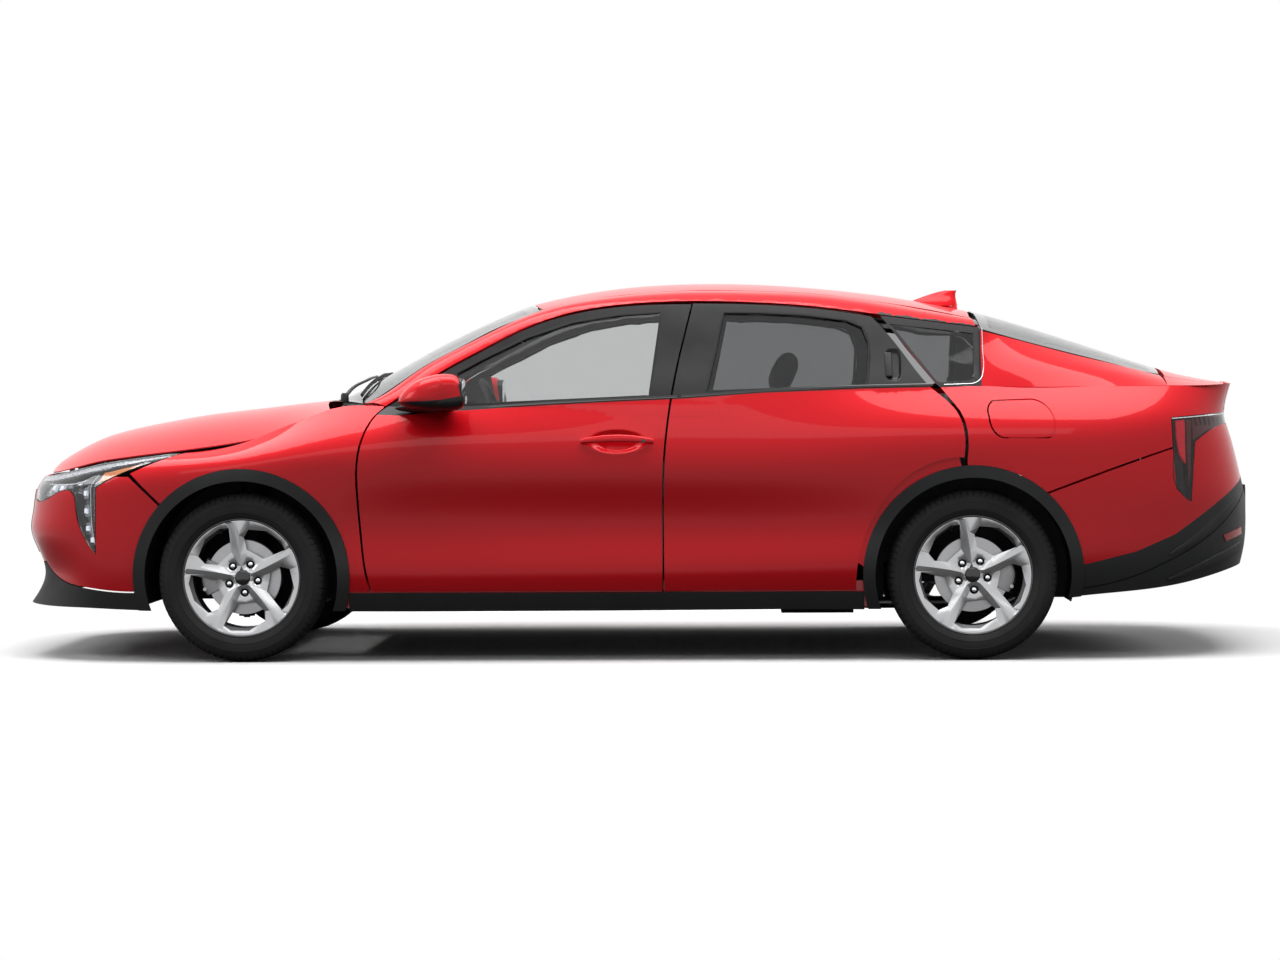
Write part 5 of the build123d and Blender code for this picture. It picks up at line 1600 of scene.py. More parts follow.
def window_beads():
    """Rubber beads round each side window and a gloss moulding along the belt."""
    windows = {
        "front_glass": [(-648, 955), (66, 984), (108, 1300), (-55, 1290), (-228, 1263), (-400, 1206),
                        (-571, 1123), (-660, 1075)],
        "rear_glass": [(275, 1000), (868, 1019), (878, 1050), (884, 1180), (860, 1240), (800, 1266),
                       (640, 1286), (477, 1296), (340, 1298)]}
    for i, side_name in SIDES:
        for node, shape in windows.items():
            loop = []
            for a, b in zip(shape, shape[1:] + shape[:1]):
                count = max(2, int(math.hypot(b[0] - a[0], b[1] - a[1]) / 18))
                loop += [(a[0] + (b[0] - a[0]) * t, a[1] + (b[1] - a[1]) * t)
                         for t in np.linspace(0, 1, count, endpoint=False)]
            lay_strip(f"{side_name}_{node}_bead", i, loop, ring(0.011, 0.009, 8, 3.0), RUBBER,
                      body_of_node(f"{side_name}_{node}"), sunk=0.0035, closed=True)
        for node, first, last in (("front_door", -900, 168), ("rear_door", 182, 1118)):
            line = [(x, height_on(TRIM_LINE, x * MM) / MM + 9) for x in [*range(first, last, 24), last]]
            lay_strip(f"{side_name}_{node}_belt_moulding", i, line, ring(0.013, 0.006, 8, 3.0), GLOSS,
                      body_of_node(f"{side_name}_{node}"))
        line = [(1309, 1232), (1309, 1150), (1308, 1070), (1300, 1044), (1278, 1027), (1230, 1022),
                (1160, 1020)]
        lay_strip(f"{side_name}_quarter_bright_strip", i, curve_through(line, 44), ring(0.0032, 0.005, 8, 3.0),
                  SILVER, "body", "alloy")
        line = [(1288, 1222), (1288, 1140), (1288, 1060), (1278, 1042)]
        lay_strip(f"{side_name}_quarter_black_strip", i, line, ring(0.030, 0.005, 8, 4.0), TRIM, "body",
                  sunk=0.001)


def make_cowl():
    """Louvred panel between the hood and the windshield, with the two wipers on it."""
    across = np.linspace(-1, 1, 61)
    hood_edge = np.asarray(hood_surface(np.array([9.0]), across))[0] * MM
    glass_edge = np.asarray(windshield_surface(np.array([0.0, 0.5]), across))
    rows = []
    for t, drop in ((0.0, -0.030), (0.0, -0.018), (0.25, -0.012), (0.55, -0.012), (0.8, -0.008), (1.0, -0.003)):
        row = []
        for k in range(61):
            a = Vector(hood_edge[k]) + Vector((-0.015, 0, 0))
            b = Vector(glass_edge[0][k]) * MM + Vector((0.012, 0, 0))
            p = a.lerp(b, t)
            row.append((p.x, p.y, p.z + drop))
        rows.append(row)
    verts = [p for row in rows for p in row]
    faces = [(r * 61 + k, r * 61 + k + 1, (r + 1) * 61 + k + 1, (r + 1) * 61 + k) for r in range(5)
             for k in range(60)]
    panel = mesh_piece("cowl", verts, faces, CLADDING)
    panel.modifiers.new("thick", "SOLIDIFY").thickness = 0.003
    parts = [panel]
    for k in range(6, 55):
        if 26 < k < 34:
            continue
        a, b = Vector(rows[2][k]), Vector(rows[3][k])
        parts.append(swept("louvre", [a + Vector((0, 0, 0.002)), b + Vector((0, 0, 0.002))],
                           ring(0.007, 0.005, 6), RUBBER))
    cowl = join("cowl_panel", parts)
    place(shade(cowl, 35.0), "body", "black_plastic")
    for name, pivot, tip in (("driver", (-1108, -560), (-985, 18)), ("passenger", (-1118, 30), (-990, 560))):
        arm_base = Vector((pivot[0] * MM, pivot[1] * MM, 0.985))
        run, outs = [], []
        for t in np.linspace(0, 1, 24):
            x = -1060 + (tip[0] + 1060) * (0.35 + 0.65 * t)
            y = pivot[1] - 40 + (tip[1] - pivot[1] + 60) * t
            hit_at = on_top(WINDSHIELD, x, y)
            if hit_at[0] is None:
                continue
            run.append(hit_at[0] + hit_at[1] * 0.010)
            outs.append(hit_at[1])
        blade = swept("blade", run, ring(0.009, 0.014, 8, 3.0), RUBBER, outs)
        middle = run[len(run) // 2] + outs[len(run) // 2] * 0.010
        arm = swept("arm", curve_through([tuple(arm_base), tuple(arm_base + Vector((0.02, 0.03, 0.030))),
                                          tuple(run[len(run) // 4] + outs[0] * 0.022), tuple(middle)], 16),
                    lambda t: ring(0.018 - 0.008 * t, 0.009, 8, 3.0), TRIM, [(0, 0, 1)] * 16)
        cap = revolved("cap", [(0.0001, -0.018), (0.010, -0.018), (0.015, -0.010), (0.016, 0.014),
                               (0.0001, 0.014)], TRIM, 24)
        cap.data.transform(Matrix.Translation(arm_base) @ Matrix.Rotation(math.radians(90), 4, "X")
                           @ Matrix.Scale(-1, 4, (0, 1, 0)))
        outward(cap)
        place(join(f"wiper_{name}", [blade, arm, cap]), "body", "black_plastic")


def make_fin():
    """Roof fin, lofted upwards."""
    sections = []
    for z, x0, x1, half in ((1.335, 1.066, 1.262, 0.034), (1.352, 1.074, 1.259, 0.031),
                            (1.362, 1.098, 1.257, 0.022), (1.373, 1.128, 1.2545, 0.0145),
                            (1.383, 1.158, 1.2545, 0.010), (1.391, 1.186, 1.2565, 0.0068),
                            (1.396, 1.212, 1.2585, 0.004)):
        ring_points = []
        for a in round_angles(28):
            c, s = math.cos(a), math.sin(a)
            x = (x0 + x1) / 2 + (x1 - x0) / 2 * c
            taper = 1.0 if c > 0 else 1 + 0.45 * c
            ring_points.append((x, half * taper * bent(s, 0.8), z))
        sections.append(ring_points)
    place(lofted("roof_fin", sections, PAINT, 40.0), body_of_node("roof_panel"), "body_paint")


make_handles()
make_mirrors()
window_beads()
make_cowl()
make_fin()


# ---------------------------------------------------------------- cabin
PAD_VOXEL, PAD_VOXEL_QUICK = 0.0095, 0.016
PAD_PRESSURE = 4.0
PAD_STIFFNESS = 30
PAD_FRAMES = 20
SEAM_DEPTH, SEAM_WIDTH = 0.0045, 0.0075


def padded_shape(name, sections, mats, choose, swell, seams, voxel=PAD_VOXEL):
    """Cushion: a lofted form blown up a little as cloth, then pressed in along its seams.

    Each seam is a function of a point that gives its distance from the seam line."""
    obj = lofted(name, sections, mats[0], 60.0)
    bpy.context.scene.collection.objects.link(obj)
    remesh = obj.modifiers.new("remesh", "REMESH")
    remesh.mode, remesh.voxel_size = "VOXEL", voxel
    bake(obj)
    start = [v.co.copy() for v in obj.data.vertices]
    cloth = obj.modifiers.new("cloth", "CLOTH")
    cloth.settings.use_pressure = True
    cloth.settings.uniform_pressure_force = PAD_PRESSURE
    cloth.settings.effector_weights.gravity = 0
    cloth.settings.quality = 4
    cloth.settings.tension_stiffness = cloth.settings.compression_stiffness = PAD_STIFFNESS
    cloth.collision_settings.use_collision = False
    cloth.point_cache.frame_start, cloth.point_cache.frame_end = 1, PAD_FRAMES
    for frame_number in range(1, PAD_FRAMES + 1):
        bpy.context.scene.frame_set(frame_number)
    bake(obj)
    bpy.context.scene.frame_set(1)
    for v, before in zip(obj.data.vertices, start):
        moved = v.co - before
        if moved.length > swell:
            v.co = before + moved * (swell / moved.length)
    bm = bmesh.new()
    bm.from_mesh(obj.data)
    bm.normal_update()
    for v in bm.verts:
        deep = sum(SEAM_DEPTH * math.exp(-(seam(v.co) / SEAM_WIDTH) ** 2) for seam in seams)
        v.co -= v.normal * deep
    for f in bm.faces:
        f.material_index = choose(f.calc_center_median())
        f.smooth = True
    bm.to_mesh(obj.data)
    bm.free()
    obj.data.materials.clear()
    for m in mats:
        obj.data.materials.append(m)
    bpy.context.scene.collection.objects.unlink(obj)
    return obj


def superoval(cx, cz, half_x, half_z, y, power=5.0):
    """Rounded box section of a cushion at a given y."""
    angles = [2 * math.pi * k / 40 for k in range(40)]
    return [(cx + half_x * bent(math.cos(a), 2 / power), y, cz + half_z * bent(math.sin(a), 2 / power))
            for a in angles]


def seat_cushion(name, length, width, depth):
    """Seat cushion centred on y = 0 with its back at x = 0, bolsters at the sides."""
    sections = []
    for t in np.linspace(-1, 1, 25):
        edge = 1 - abs(t) ** 8
        bolster = 0.028 * math.exp(-((abs(t) - 0.84) / 0.13) ** 2)
        top = depth * (0.80 + 0.20 * edge) + bolster
        sections.append(superoval(-length / 2, top / 2, length / 2 * (0.955 + 0.045 * edge), top / 2,
                                  t * width / 2))
    inner, front = width * 0.335, length * 0.86
    seams = (lambda p: abs(abs(p.y) - inner), lambda p: abs(p.x + front),
             lambda p: abs(p.x + length * 0.55) + (0.02 if abs(p.y) > inner else 0),
             lambda p: abs(p.z - depth * 0.50))
    return padded_shape(name, sections, [CLOTH, CLOTH_SIDE],
                        lambda p: 0 if abs(p.y) < inner and p.x > -front else 1, 0.022, seams)


def seat_back(name, height, width, depth):
    """Backrest rising from z = 0, front face towards -X at x = 0."""
    sections = []
    for t in np.linspace(-1, 1, 25):
        edge = 1 - abs(t) ** 8
        bolster = 0.030 * math.exp(-((abs(t) - 0.84) / 0.13) ** 2)
        reach = depth * (0.78 + 0.22 * edge) + bolster
        sections.append(superoval(depth - reach / 2, height / 2, reach / 2, height / 2 * (0.95 + 0.05 * edge),
                                  t * width / 2))
    inner = width * 0.33
    seams = (lambda p: abs(abs(p.y) - inner),
             lambda p: abs(p.z - height * 0.36) + (0.02 if abs(p.y) > inner else 0),
             lambda p: abs(p.z - height * 0.70) + (0.02 if abs(p.y) > inner else 0),
             lambda p: abs(p.x - depth * 0.62))
    return padded_shape(name, sections, [CLOTH, CLOTH_SIDE],
                        lambda p: 0 if abs(p.y) < inner and p.x < depth * 0.5 else 1, 0.022, seams)


def head_rest(name):
    """Headrest standing on z = 0, front face towards -X."""
    sections = [superoval(0.045, 0.085, 0.040 * (1 - 0.2 * abs(t) ** 4), 0.078 * (1 - 0.14 * abs(t) ** 4),
                          t * 0.126, 3.4) for t in np.linspace(-1, 1, 13)]
    return padded_shape(name, sections, [CLOTH, CLOTH_SIDE],
                        lambda p: 0 if p.x < 0.05 and abs(p.y) < 0.10 else 1, 0.010,
                        (lambda p: abs(abs(p.y) - 0.10),), 0.007)


def put(obj, matrix=None, slot_name="cabin_plastic", replaces=()):
    """Moves a cabin piece by the matrix and fixes it to the body."""
    if matrix:
        obj.data.transform(matrix)
    place(obj, "body", slot_name, replaces)
    return obj


def make_seats():
    cushion = seat_cushion("cushion", 0.525, 0.485, 0.135)
    back = seat_back("back", 0.585, 0.485, 0.112)
    rest = head_rest("rest")
    lean = Matrix.Rotation(math.radians(22), 4, "Y")
    for side_name, s in HANDS:
        base = Matrix.Translation((-0.190, s * SEAT_Y, 0))
        tilt = base @ Matrix.Translation((0.430, 0, 0.430)) @ lean
        put(copy_of(cushion, f"{side_name}_front_cushion"), base @ Matrix.Translation((0.462, 0, 0.338)),
            slot_name="seat_cloth", replaces=["front_seats"])
        put(copy_of(back, f"{side_name}_front_backrest"), tilt @ Matrix.Translation((0.004, 0, 0.006)),
            slot_name="seat_cloth")
        put(copy_of(rest, f"{side_name}_front_headrest"), tilt @ Matrix.Translation((0.020, 0, 0.634)),
            slot_name="seat_cloth")
        posts = [swept("post", [tilt @ Vector((0.061, y, 0.585)), tilt @ Vector((0.061, y, 0.645))],
                       ring(0.011, 0.011, 12), CHROME, [(1, 0, 0)] * 2)
                 for y in (-0.054, 0.054)]
        shell = rounded_box("shell", (0.080, -0.205, 0.02), (0.128, 0.205, 0.560), DASH, 0.020, 4, 0.94)
        shell.matrix_basis = tilt
        tub = rounded_box("tub", (-0.03, -0.228, 0.262), (0.445, 0.228, 0.345), DASH, 0.014, 3, 1.0)
        tub.matrix_basis = base
        rails = [rounded_box("rail", (-0.02, y - 0.016, 0.212), (0.44, y + 0.016, 0.240), STEEL, 0.004, 2)
                 for y in (-0.185, 0.185)]
        legs = [rounded_box("leg", (x - 0.020, y - 0.012, 0.236), (x + 0.020, y + 0.012, 0.272), IRON, 0.003, 2)
                for y in (-0.185, 0.185) for x in (0.03, 0.39)]
        cover = rounded_box("cover", (0.02, s * 0.226, 0.268), (0.47, s * 0.250, 0.372), DASH, 0.012, 3, 1.0)
        for o in rails + legs + [cover]:
            o.matrix_basis = base
        put(join(f"{side_name}_front_seat_frame", posts + [shell, tub, cover] + rails + legs))
    bench = seat_cushion("bench", 0.475, 1.180, 0.135)
    put(bench, Matrix.Translation((1.235, 0, 0.368)), slot_name="seat_cloth", replaces=["rear_seat"])
    bench.name = "rear_cushion"
    rear = seat_back("rear_backrest", 0.455, 1.180, 0.095)
    tilt = at((1.120, 0, 0.470), (24, "Y"))
    put(rear, tilt @ Matrix.Translation((0.002, 0, 0.010)), slot_name="seat_cloth")
    for k, y in enumerate((-0.37, 0, 0.37)):
        shape = Matrix.Diagonal((0.9, 0.92, 0.62 if y else 0.5, 1))
        put(copy_of(rest, f"rear_headrest_{k}"), tilt @ Matrix.Translation((0.012, y, 0.455)) @ shape,
            slot_name="seat_cloth")
    for o in (cushion, back, rest):
        bpy.data.objects.remove(o)


STEERING_FRAME = at((-0.520, -SEAT_Y, 0.880), (65, "Y"))


def make_dash():
    """Dashboard pad, screen, vents, glove box, console and column shroud."""
    profile = [(-1.045, 0.905), (-0.960, 0.925), (-0.840, 0.928), (-0.735, 0.918), (-0.690, 0.900),
               (-0.672, 0.872), (-0.668, 0.840), (-0.676, 0.800), (-0.690, 0.760), (-0.700, 0.700),
               (-0.730, 0.650), (-0.800, 0.620), (-0.920, 0.600), (-1.020, 0.620), (-1.050, 0.720)]
    sections = []
    for t in np.linspace(-1, 1, 49):
        y = t * 0.700
        pull = 0.030 * abs(t) ** 3
        edge = 0.012 if abs(t) == 1 else 0.0
        sections.append([(x - (pull if x > -0.8 else 0) - edge * (x > -0.8), y, z - edge * (z > 0.85)) for x,
                         z in profile])
    pad = lofted("pad", sections, DASH, 42.0)
    bevelled(pad, 0.004, 2, 50.0)
    parts = [pad]
    trim_run = [Vector((-0.664 - 0.030 * abs(t) ** 3, t * 0.66, 0.822)) for t in np.linspace(-1, 1, 40)]
    parts.append(swept("trim", trim_run, ring(0.034, 0.008, 8, 5.0), GLOSS, [(1, 0, 0)] * 40))
    bright = [p + Vector((0.002, 0, 0.019)) for p in trim_run]
    parts.append(swept("bright", bright, ring(0.004, 0.006, 6, 3.0), SILVER, [(1, 0, 0)] * 40))
    for y in (-0.60, -0.13, 0.13, 0.60):
        parts.append(rounded_box("vent", (-0.668, y - 0.055, 0.772), (-0.655, y + 0.055, 0.803), TRIM, 0.004,
                                 2))
        for k in range(4):
            parts.append(rounded_box("slat", (-0.660, y - 0.050, 0.7755 + 0.0068 * k),
                                     (-0.651, y + 0.050, 0.7775 + 0.0068 * k), GLOSS, 0.0006, 1))
    panel = rounded_box("screens", (-0.700, -0.560, 0.890), (-0.684, 0.060, 1.000), GLOSS, 0.006, 3, 1.0)
    parts.append(panel)
    for y0, y1 in ((-0.545, -0.265), (-0.235, 0.045)):
        parts.append(rounded_box("display", (-0.686, y0, 0.900), (-0.6825, y1, 0.990), DISPLAY, 0.002, 2, 1.0))
    parts.append(rounded_box("glove", (-0.690, 0.200, 0.665), (-0.676, 0.600, 0.760), DASH, 0.006, 2))
    parts.append(rounded_box("latch", (-0.680, 0.370, 0.742), (-0.671, 0.430, 0.754), SILVER, 0.002, 2))
    for k in range(5):
        parts.append(revolved("knob", [(0.0001, -0.010), (0.010, -0.010), (0.012, -0.006), (0.012, 0.008),
                                       (0.0001, 0.008)], SILVER, 24))
        parts[-1].matrix_basis = at((-0.664, -0.08 + 0.04 * k, 0.740), (90, "Z"))
    shroud = []
    for z, half in ((-0.045, 0.030), (-0.050, 0.042), (-0.110, 0.052), (-0.200, 0.060), (-0.230, 0.058)):
        shroud.append([STEERING_FRAME @ Vector((half * math.cos(a), half * 0.9 * math.sin(a), z))
                       for a in round_angles(28)])
    parts.append(lofted("shroud", shroud, DASH, 40.0))
    for s in (-1, 1):
        stalk = [STEERING_FRAME @ Vector((0.0, s * 0.045, -0.070)),
                 STEERING_FRAME @ Vector((0.01, s * 0.110, -0.060)),
                 STEERING_FRAME @ Vector((0.014, s * 0.165, -0.055))]
        parts.append(swept("stalk", curve_through([tuple(p) for p in stalk], 12),
                           lambda t: ring(0.010 + 0.008 * t ** 3, 0.009 + 0.005 * t ** 3, 10), TRIM,
                           [(0, 0, 1)] * 12))
    put(join("dashboard_pad", parts), replaces=["dashboard"])
    console = [rounded_box("console", (-0.800, -0.112, 0.290), (0.080, 0.112, 0.500), DASH, 0.018, 4, 0.92),
               rounded_box("rest", (-0.220, -0.095, 0.495), (0.090, 0.095, 0.575), CLOTH_SIDE, 0.022, 4, 0.96),
               rounded_box("plate", (-0.680, -0.085, 0.495), (-0.250, 0.085, 0.510), GLOSS, 0.005, 2, 0.98),
               rounded_box("bin", (-0.760, -0.110, 0.480), (-0.690, 0.110, 0.640), DASH, 0.012, 3, 0.95)]
    for x in (-0.330, -0.420):
        console.append(revolved("cup", [(0.0375, 0.0), (0.041, 0.0), (0.041, 0.012), (0.0375, 0.014),
                                        (0.034, 0.008), (0.034, 0.0)], SILVER, 40))
        console[-1].matrix_basis = at((x, 0.030, 0.502), (90, "X"))
    console.append(revolved("boot", [(0.0001, 0.0), (0.040, 0.0), (0.038, 0.008), (0.016, 0.040),
                                     (0.010, 0.080), (0.0001, 0.08)], LEATHER, 32))
    console[-1].matrix_basis = at((-0.540, 0, 0.508), (90, "X"))
    console.append(rounded_box("grip", (-0.568, -0.018, 0.575), (-0.512, 0.018, 0.650), LEATHER, 0.014, 4,
                               0.92))
    put(join("console", console))
    pedals = []
    for y, w in ((-0.330, 0.045), (-0.430, 0.085)):
        pedal = rounded_box("pedal", (-w / 2, -0.055, 0), (w / 2, 0.055, 0.010), RUBBER, 0.003, 2)
        pedal.matrix_basis = at((-0.965, y, 0.345), (90, "Z"), (-62, "X"))
        pedals.append(pedal)
        pedals.append(swept("lever", [Vector((-0.972, y, 0.350)), Vector((-1.010, y, 0.46)),
                                      Vector((-1.020, y, 0.60))], ring(0.014, 0.008, 8, 4.0), IRON,
                            [(1, 0, 0)] * 3))
    put(join("pedals", pedals))


def make_steering_wheel():
    rim_points = [Vector((0.178 * math.cos(a), 0.180 * math.sin(a), 0)) for a in round_angles(72)]
    parts = [swept("rim", rim_points, ring(0.030, 0.025, 14), LEATHER, [(0, 0, 1)] * 72, closed=True)]
    hub = lofted("hub", [[(0.070 * k * bent(math.cos(a), 0.75), 0.080 * k * bent(math.sin(a), 0.75), z)
                          for a in round_angles(40)]
                         for z, k in ((-0.040, 0.70), (-0.032, 0.95), (-0.012, 1.0), (0.004, 0.95),
                                      (0.012, 0.80), (0.016, 0.45))], DASH, 40.0)
    parts.append(hub)
    for a in (90, -90, 0):
        reach = math.radians(a)
        inner = Vector((0.055 * math.cos(reach), 0.055 * math.sin(reach), -0.010))
        outer = Vector((0.170 * math.cos(reach), 0.170 * math.sin(reach), 0))
        run = curve_through([tuple(inner), tuple(inner.lerp(outer, 0.5) + Vector((0, 0, -0.006))),
                             tuple(outer)], 12)
        parts.append(swept("spoke", run, lambda t: ring(0.050 - 0.016 * t, 0.014, 12, 3.5),
                           GLOSS if a == 0 else DASH, [(0, 0, 1)] * 12))
        if a:
            parts.append(swept("inlay", [p + np.array((0, 0, 0.008)) for p in run[2:9]],
                               ring(0.018, 0.004, 8, 4.0), SILVER, [(0, 0, 1)] * 7))
    shaft = revolved("shaft", [(0.0001, -0.286), (0.0115, -0.286), (0.0115, -0.03), (0.0001, -0.03)], STEEL, 24)
    shaft.data.transform(Matrix.Rotation(math.radians(90), 4, "X"))
    parts.append(shaft)
    wheel = join("steering_wheel_rim", parts)
    wheel.data.transform(STEERING_FRAME)
    place(wheel, "steering_wheel", "cabin_plastic", ["steering_wheel"])


def grid_piece(name, points, mat, thick=0.004):
    """Sheet through rows of points."""
    rows, cols = len(points), len(points[0])
    faces = [(r * cols + k, r * cols + k + 1, (r + 1) * cols + k + 1, (r + 1) * cols + k)
             for r in range(rows - 1) for k in range(cols - 1)]
    obj = mesh_piece(name, [p for row in points for p in row], faces, mat)
    obj.modifiers.new("thick", "SOLIDIFY").thickness = thick
    return obj


def make_linings():
    """Headliner, carpet, door cards and inner mirror."""
    roof, _ = dense(roof_surface, steps(0.25, 8.8, 40), steps(-0.86, 0.86, 40), -42.0, DOWN)
    put(shade(join("headliner", [grid_piece("liner", [[Vector(p) for p in row] for row in roof], LINER)])),
        slot_name="seat_cloth")
    floors = [rounded_box("mat", (-1.02, -0.750, 0.2065), (0.84, -0.122, 0.216), CARPET, 0.004, 2),
              rounded_box("mat", (-1.02, 0.122, 0.2065), (0.84, 0.750, 0.216), CARPET, 0.004, 2),
              rounded_box("tunnel", (-1.02, -0.124, 0.21), (0.84, 0.124, 0.306), CARPET, 0.020, 3),
              rounded_box("wall", (-1.066, -0.72, 0.22), (-1.050, 0.72, 0.60), CARPET, 0.006, 2),
              rounded_box("riser", (0.835, -0.62, 0.21), (0.850, 0.62, 0.366), CARPET, 0.004, 2),
              rounded_box("shelf", (1.335, -0.60, 0.9465), (1.925, 0.60, 0.955), CARPET, 0.004, 2)]
    put(join("carpet", floors), slot_name="seat_cloth")
    for node, x0, x1, split in (("front_door", -0.870, 0.028, 0.60), ("rear_door", 0.215, 0.840, 0.62)):
        rows = []
        for z in np.linspace(0.325, 0.915, 24):
            row = []
            for x in np.linspace(x0, x1 if node == "front_door" else (x1 - 0.12 * max(0, 0.55 - z) / 0.25), 30):
                y = on_side(0, x / MM, z / MM, SIDE[0])[0].y + 0.096
                bulge = 0.014 * math.exp(-((z - split) / 0.05) ** 2)
                row.append(Vector((x, y + bulge, z)))
            rows.append(row)
        card = grid_piece("card", rows, CABIN_GREY, 0.004)
        length = x1 - x0
        mid_y = rows[11][15].y
        arm = rounded_box("arm", (x0 + 0.22 * length, mid_y - 0.004, split - 0.020),
                          (x0 + 0.90 * length, mid_y + 0.060, split + 0.022), DASH, 0.014, 3, 0.98)
        pull = swept("pull", curve_through([(x0 + 0.30 * length, mid_y + 0.020, split + 0.095),
                                            (x0 + 0.36 * length, mid_y + 0.034, split + 0.098),
                                            (x0 + 0.42 * length, mid_y + 0.020, split + 0.098)], 10),
                     ring(0.014, 0.008, 10, 3.0), CHROME, [(0, 1, 0)] * 10)
        speaker = revolved("speaker", [(0.0001, 0.000), (0.070, 0.000), (0.074, 0.003), (0.072, 0.008),
                                       (0.060, 0.010), (0.0001, 0.011)], DASH, 48)
        speaker.matrix_basis = Matrix.Translation((x0 + 0.20 * length, rows[4][6].y - 0.002, 0.425))
        pocket = rounded_box("pocket", (x0 + 0.34 * length, rows[4][15].y - 0.004, 0.345),
                             (x0 + 0.86 * length, rows[4][15].y + 0.045, 0.440), DASH, 0.016, 3, 0.95)
        trims = join("card", [shade(card), arm, pull, speaker, pocket])
        pair(trims, node, "cabin_plastic")
    mirror = [rounded_box("glass", (-0.010, -0.120, -0.032), (0.012, 0.120, 0.032), DASH, 0.012, 4),
              rounded_box("face", (0.0105, -0.112, -0.026), (0.0135, 0.112, 0.026), MIRROR_GLASS, 0.001, 1)]
    for o in mirror:
        o.matrix_basis = at((-0.470, 0, 1.225), (8, "Y"))
    top = on_top(WINDSHIELD, -560, 0)[0]
    mirror.append(swept("stem", [Vector((-0.472, 0, 1.240)), Vector((-0.505, 0, 1.258)),
                                 top + Vector((0, 0, -0.010))], ring(0.016, 0.016, 10), DASH, [(0, 1, 0)] * 3))
    put(join("inner_mirror", mirror))


make_seats()
make_dash()
make_steering_wheel()
make_linings()


# ---------------------------------------------------------------- calipers, arches, sill and rear details
CALIPER = metal("caliper_cast", (0.34, 0.34, 0.345), 0.5, 300.0, 0.08, 0.4)
CALIPER_SECTION = [(0.100, -0.030), (0.100, -0.038), (0.146, -0.039), (0.158, -0.034), (0.166, -0.020),
                   (0.167, 0.016), (0.160, 0.034), (0.104, 0.036), (0.100, 0.030), (0.100, 0.004),
                   (0.145, 0.004), (0.146, -0.029)]


def make_calipers():
    """Brake calipers round the discs; the front ones steer with their knuckles."""
    for end, x, middle in (("front", FRONT_HUB_X, 180.0), ("rear", REAR_HUB_X, 0.0)):
        for side_name, s in HANDS:
            sections = []
            for a in np.radians(np.linspace(middle - 27, middle + 27, 15)):
                swell = 1.0 - 0.05 * abs(math.degrees(a) - middle) / 27
                sections.append([(x + r * swell * math.cos(a), s * (TRACK_HALF - y),
                                  HUB_Z + r * swell * math.sin(a)) for r, y in CALIPER_SECTION])
            parts = [bevelled(lofted("body", sections, CALIPER, 30.0), 0.002, 2, 40.0)]
            for spread in (-17, 17):
                a = math.radians(middle + spread)
                pin = revolved("pin", [(0.0001, -0.041), (0.007, -0.041), (0.008, -0.038), (0.008, 0.05),
                                       (0.0001, 0.05)], STEEL, 20)
                pin.matrix_basis = Matrix.Translation((x + 0.152 * math.cos(a), s * TRACK_HALF,
                                                       HUB_Z + 0.152 * math.sin(a))) @ Matrix.Diagonal((1, -s,
                                                               1, 1))
                parts.append(pin)
            body = body_of_node(f"{side_name}_knuckle") if end == "front" else "body"
            place(join(f"{side_name}_{end}_caliper", parts), body, "alloy")


def side_strip(name, i, lower, upper, lift, mat, slot_name="black_plastic"):
    """Sheet on the body side between two lines of (x, z) points in mm, lifted off it."""
    low, high = curve_through(lower, 40), curve_through(upper, 40)
    rows = []
    for t in np.linspace(0, 1, 6):
        row = []
        for a, b in zip(low, high):
            p, n = on_side(i, float(a[0] + (b[0] - a[0]) * t), float(a[1] + (b[1] - a[1]) * t), SIDE[i])
            row.append(p + n * lift)
        rows.append(row)
    obj = grid_piece(name, rows, mat, 0.003)
    place(obj, "body", slot_name)
    bake(obj)
    return shade(outward(obj), 35.0)


def arc(x, z, radius, first, last):
    return [(x + radius * math.cos(math.radians(a)), z + radius * math.sin(math.radians(a)))
            for a in np.linspace(first, last, 24)]


def rear_x(y, z):
    """X of the tail at a height, in metres, from the side surface."""
    for surface in SIDE:
        where = surface.tree.ray_cast(Vector((4, y, z)), Vector((-1, 0, 0)), 4)[0]
        if where is not None:
            return where.x
    return 2.30


def make_backing():
    """Strips that close the wheel arch and the sill seam behind the rear panels."""
    hub_x, hub_z = REAR_HUB_X / MM, HUB_Z / MM
    for i, side_name in SIDES:
        side_strip(f"{side_name}_rear_arch_backing", i, arc(hub_x, hub_z, 396, 176, 96),
                   arc(hub_x, hub_z, 452, 172, 97), -0.0045, PAINT,
                   slot_name="body_paint")
        seam = [(1650, 266), (1727, 276), (1838, 304), (1992, 368), (2092, 420), (2200, 507), (2270, 573)]
        side_strip(f"{side_name}_rear_sill_backing", i, [(x, z - 22) for x, z in seam],
                   [(x, z + 22) for x, z in seam], -0.007, TRIM)


def make_arch_liners():
    """Felt liner that closes each arch behind its cladding."""
    for end, x in (("front", FRONT_HUB_X), ("rear", REAR_HUB_X)):
        for side_name, s in HANDS:
            rows = [[Vector((x + 0.392 * math.cos(a), s * y, HUB_Z + 0.392 * math.sin(a)))
                     for a in np.radians(np.linspace(-4, 184, 49))]
                    for y in (0.640, 0.700, 0.760, 0.815)]
            liner = grid_piece(f"{side_name}_{end}_arch_felt", rows, CARPET, 0.003)
            place(liner, "body", "black_plastic")
            bake(liner)
            shade(outward(liner), 35.0)


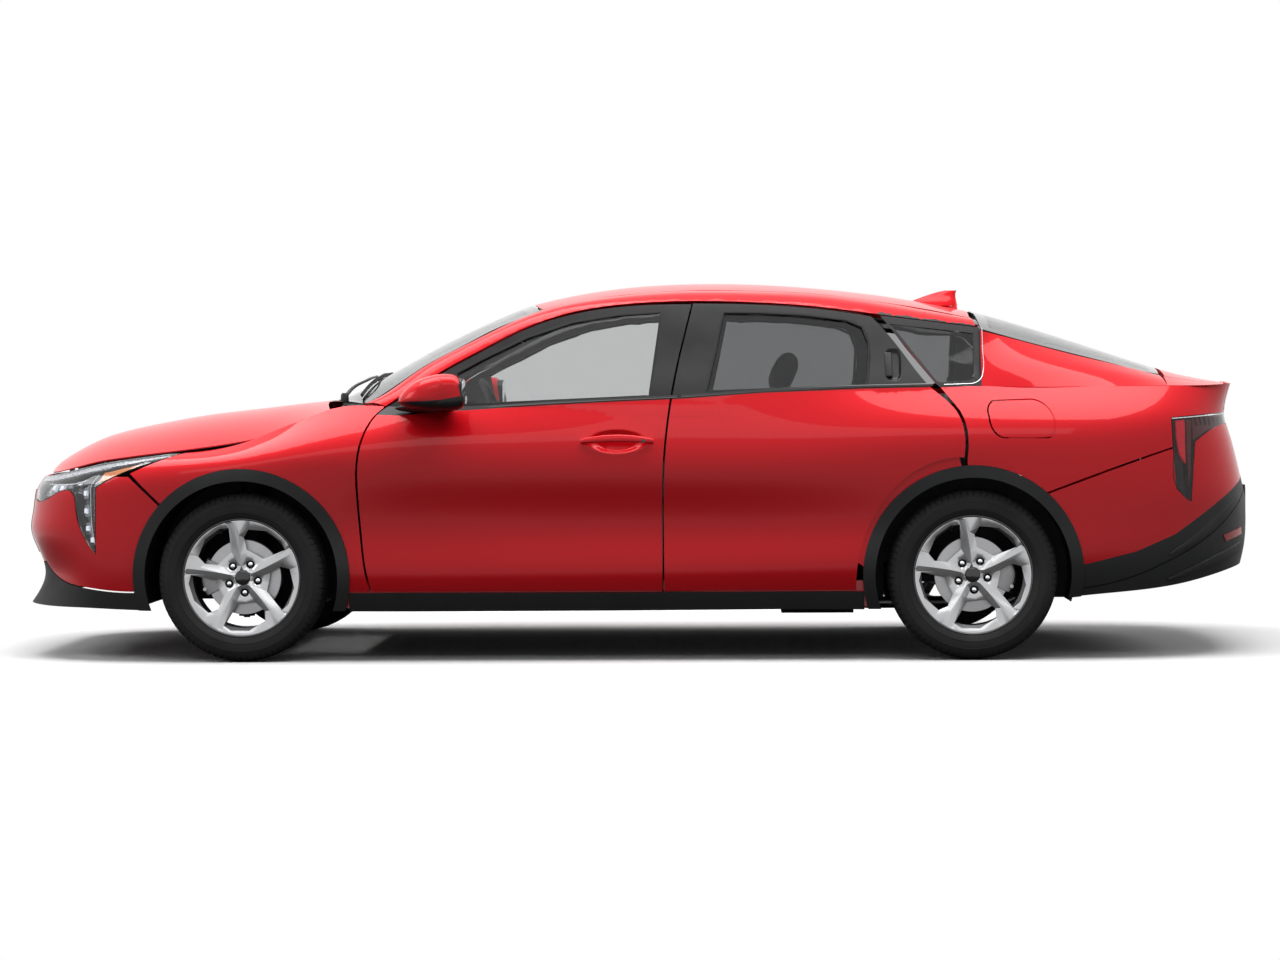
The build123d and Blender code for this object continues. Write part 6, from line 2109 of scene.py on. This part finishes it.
def make_rear_details():
    """Reflectors, plate holder with a blank plate, and the blades and ridges of the diffuser."""
    reflector = [(2.205, 0.452), (2.286, 0.478), (2.290, 0.452), (2.215, 0.428)]
    sheet_from("rear_reflector", "rear_diffuser", SIDE, [REFLECTOR], 0.0022, 0.0040,
               lambda p: 0 if inside_area(reflector, p.x, p.z) else None, area_cuts(reflector), 0.012,
               "tail_lens")
    z0, z1 = 0.500, 0.625
    x = max(rear_x(y, z) for y in (-0.26, 0, 0.26) for z in (z0, z1))
    parts = [rounded_box("tray", (x - 0.034, -0.265, z0 - 0.004), (x - 0.001, 0.265, z1 + 0.004), TRIM, 0.005,
                         3, 1.0),
             rounded_box("plate", (x - 0.002, -0.255, z0 + 0.006), (x + 0.0012, 0.255, z1 - 0.006), PLATE,
                         0.001, 2, 1.0)]
    for y in (-0.18, 0.18):
        stud_obj = revolved("screw", [(0.0001, 0.0), (0.006, 0.0), (0.006, 0.002), (0.004, 0.0035),
                                      (0.0001, 0.0035)], SILVER, 20)
        stud_obj.matrix_basis = at((x + 0.0005, y, z1 - 0.020), (-90, "Z"))
        parts.append(stud_obj)
    place(join("rear_plate_holder", parts), "body", "black_plastic")
    for i, side_name in SIDES:
        points, normals = along_side(i, [(1985, 292), (2070, 322), (2160, 354), (2235, 384), (2278, 402)], 30)
        blade = swept("blade", points, lambda t: ring(0.012 + 0.030 * min(1.0, 1.6 * t), 0.012, 10, 4.0),
                      CLADDING, normals)
        crease, crease_normals = along_side(i, [(1990, 385), (2090, 440), (2190, 520), (2262, 590)], 24)
        ridge = swept("ridge", crease, lambda t: ring(0.010 + 0.030 * math.sin(math.pi * t), 0.006, 8, 3.0),
                      CLADDING, crease_normals)
        place(join(f"{side_name}_diffuser_blade", [blade, ridge]), "body", "black_plastic")


make_calipers()
make_backing()
make_arch_liners()
make_rear_details()


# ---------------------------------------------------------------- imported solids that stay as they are
KEPT = {
    "left_knuckle": IRON, "right_knuckle": IRON, "side_frames": FRAME_PAINT, "body_frame": FRAME_PAINT,
    "wheelhouses": CLADDING, "floor_pan": UNDER, "front_suspension": UNDER, "rear_suspension": UNDER,
    "engine": IRON, "fuel_tank": CLADDING, "exhaust": STEEL}
for name, node in NODES.items():
    if not node.hide_render and name in KEPT:
        node.data.materials.clear()
        node.data.materials.append(KEPT[name])
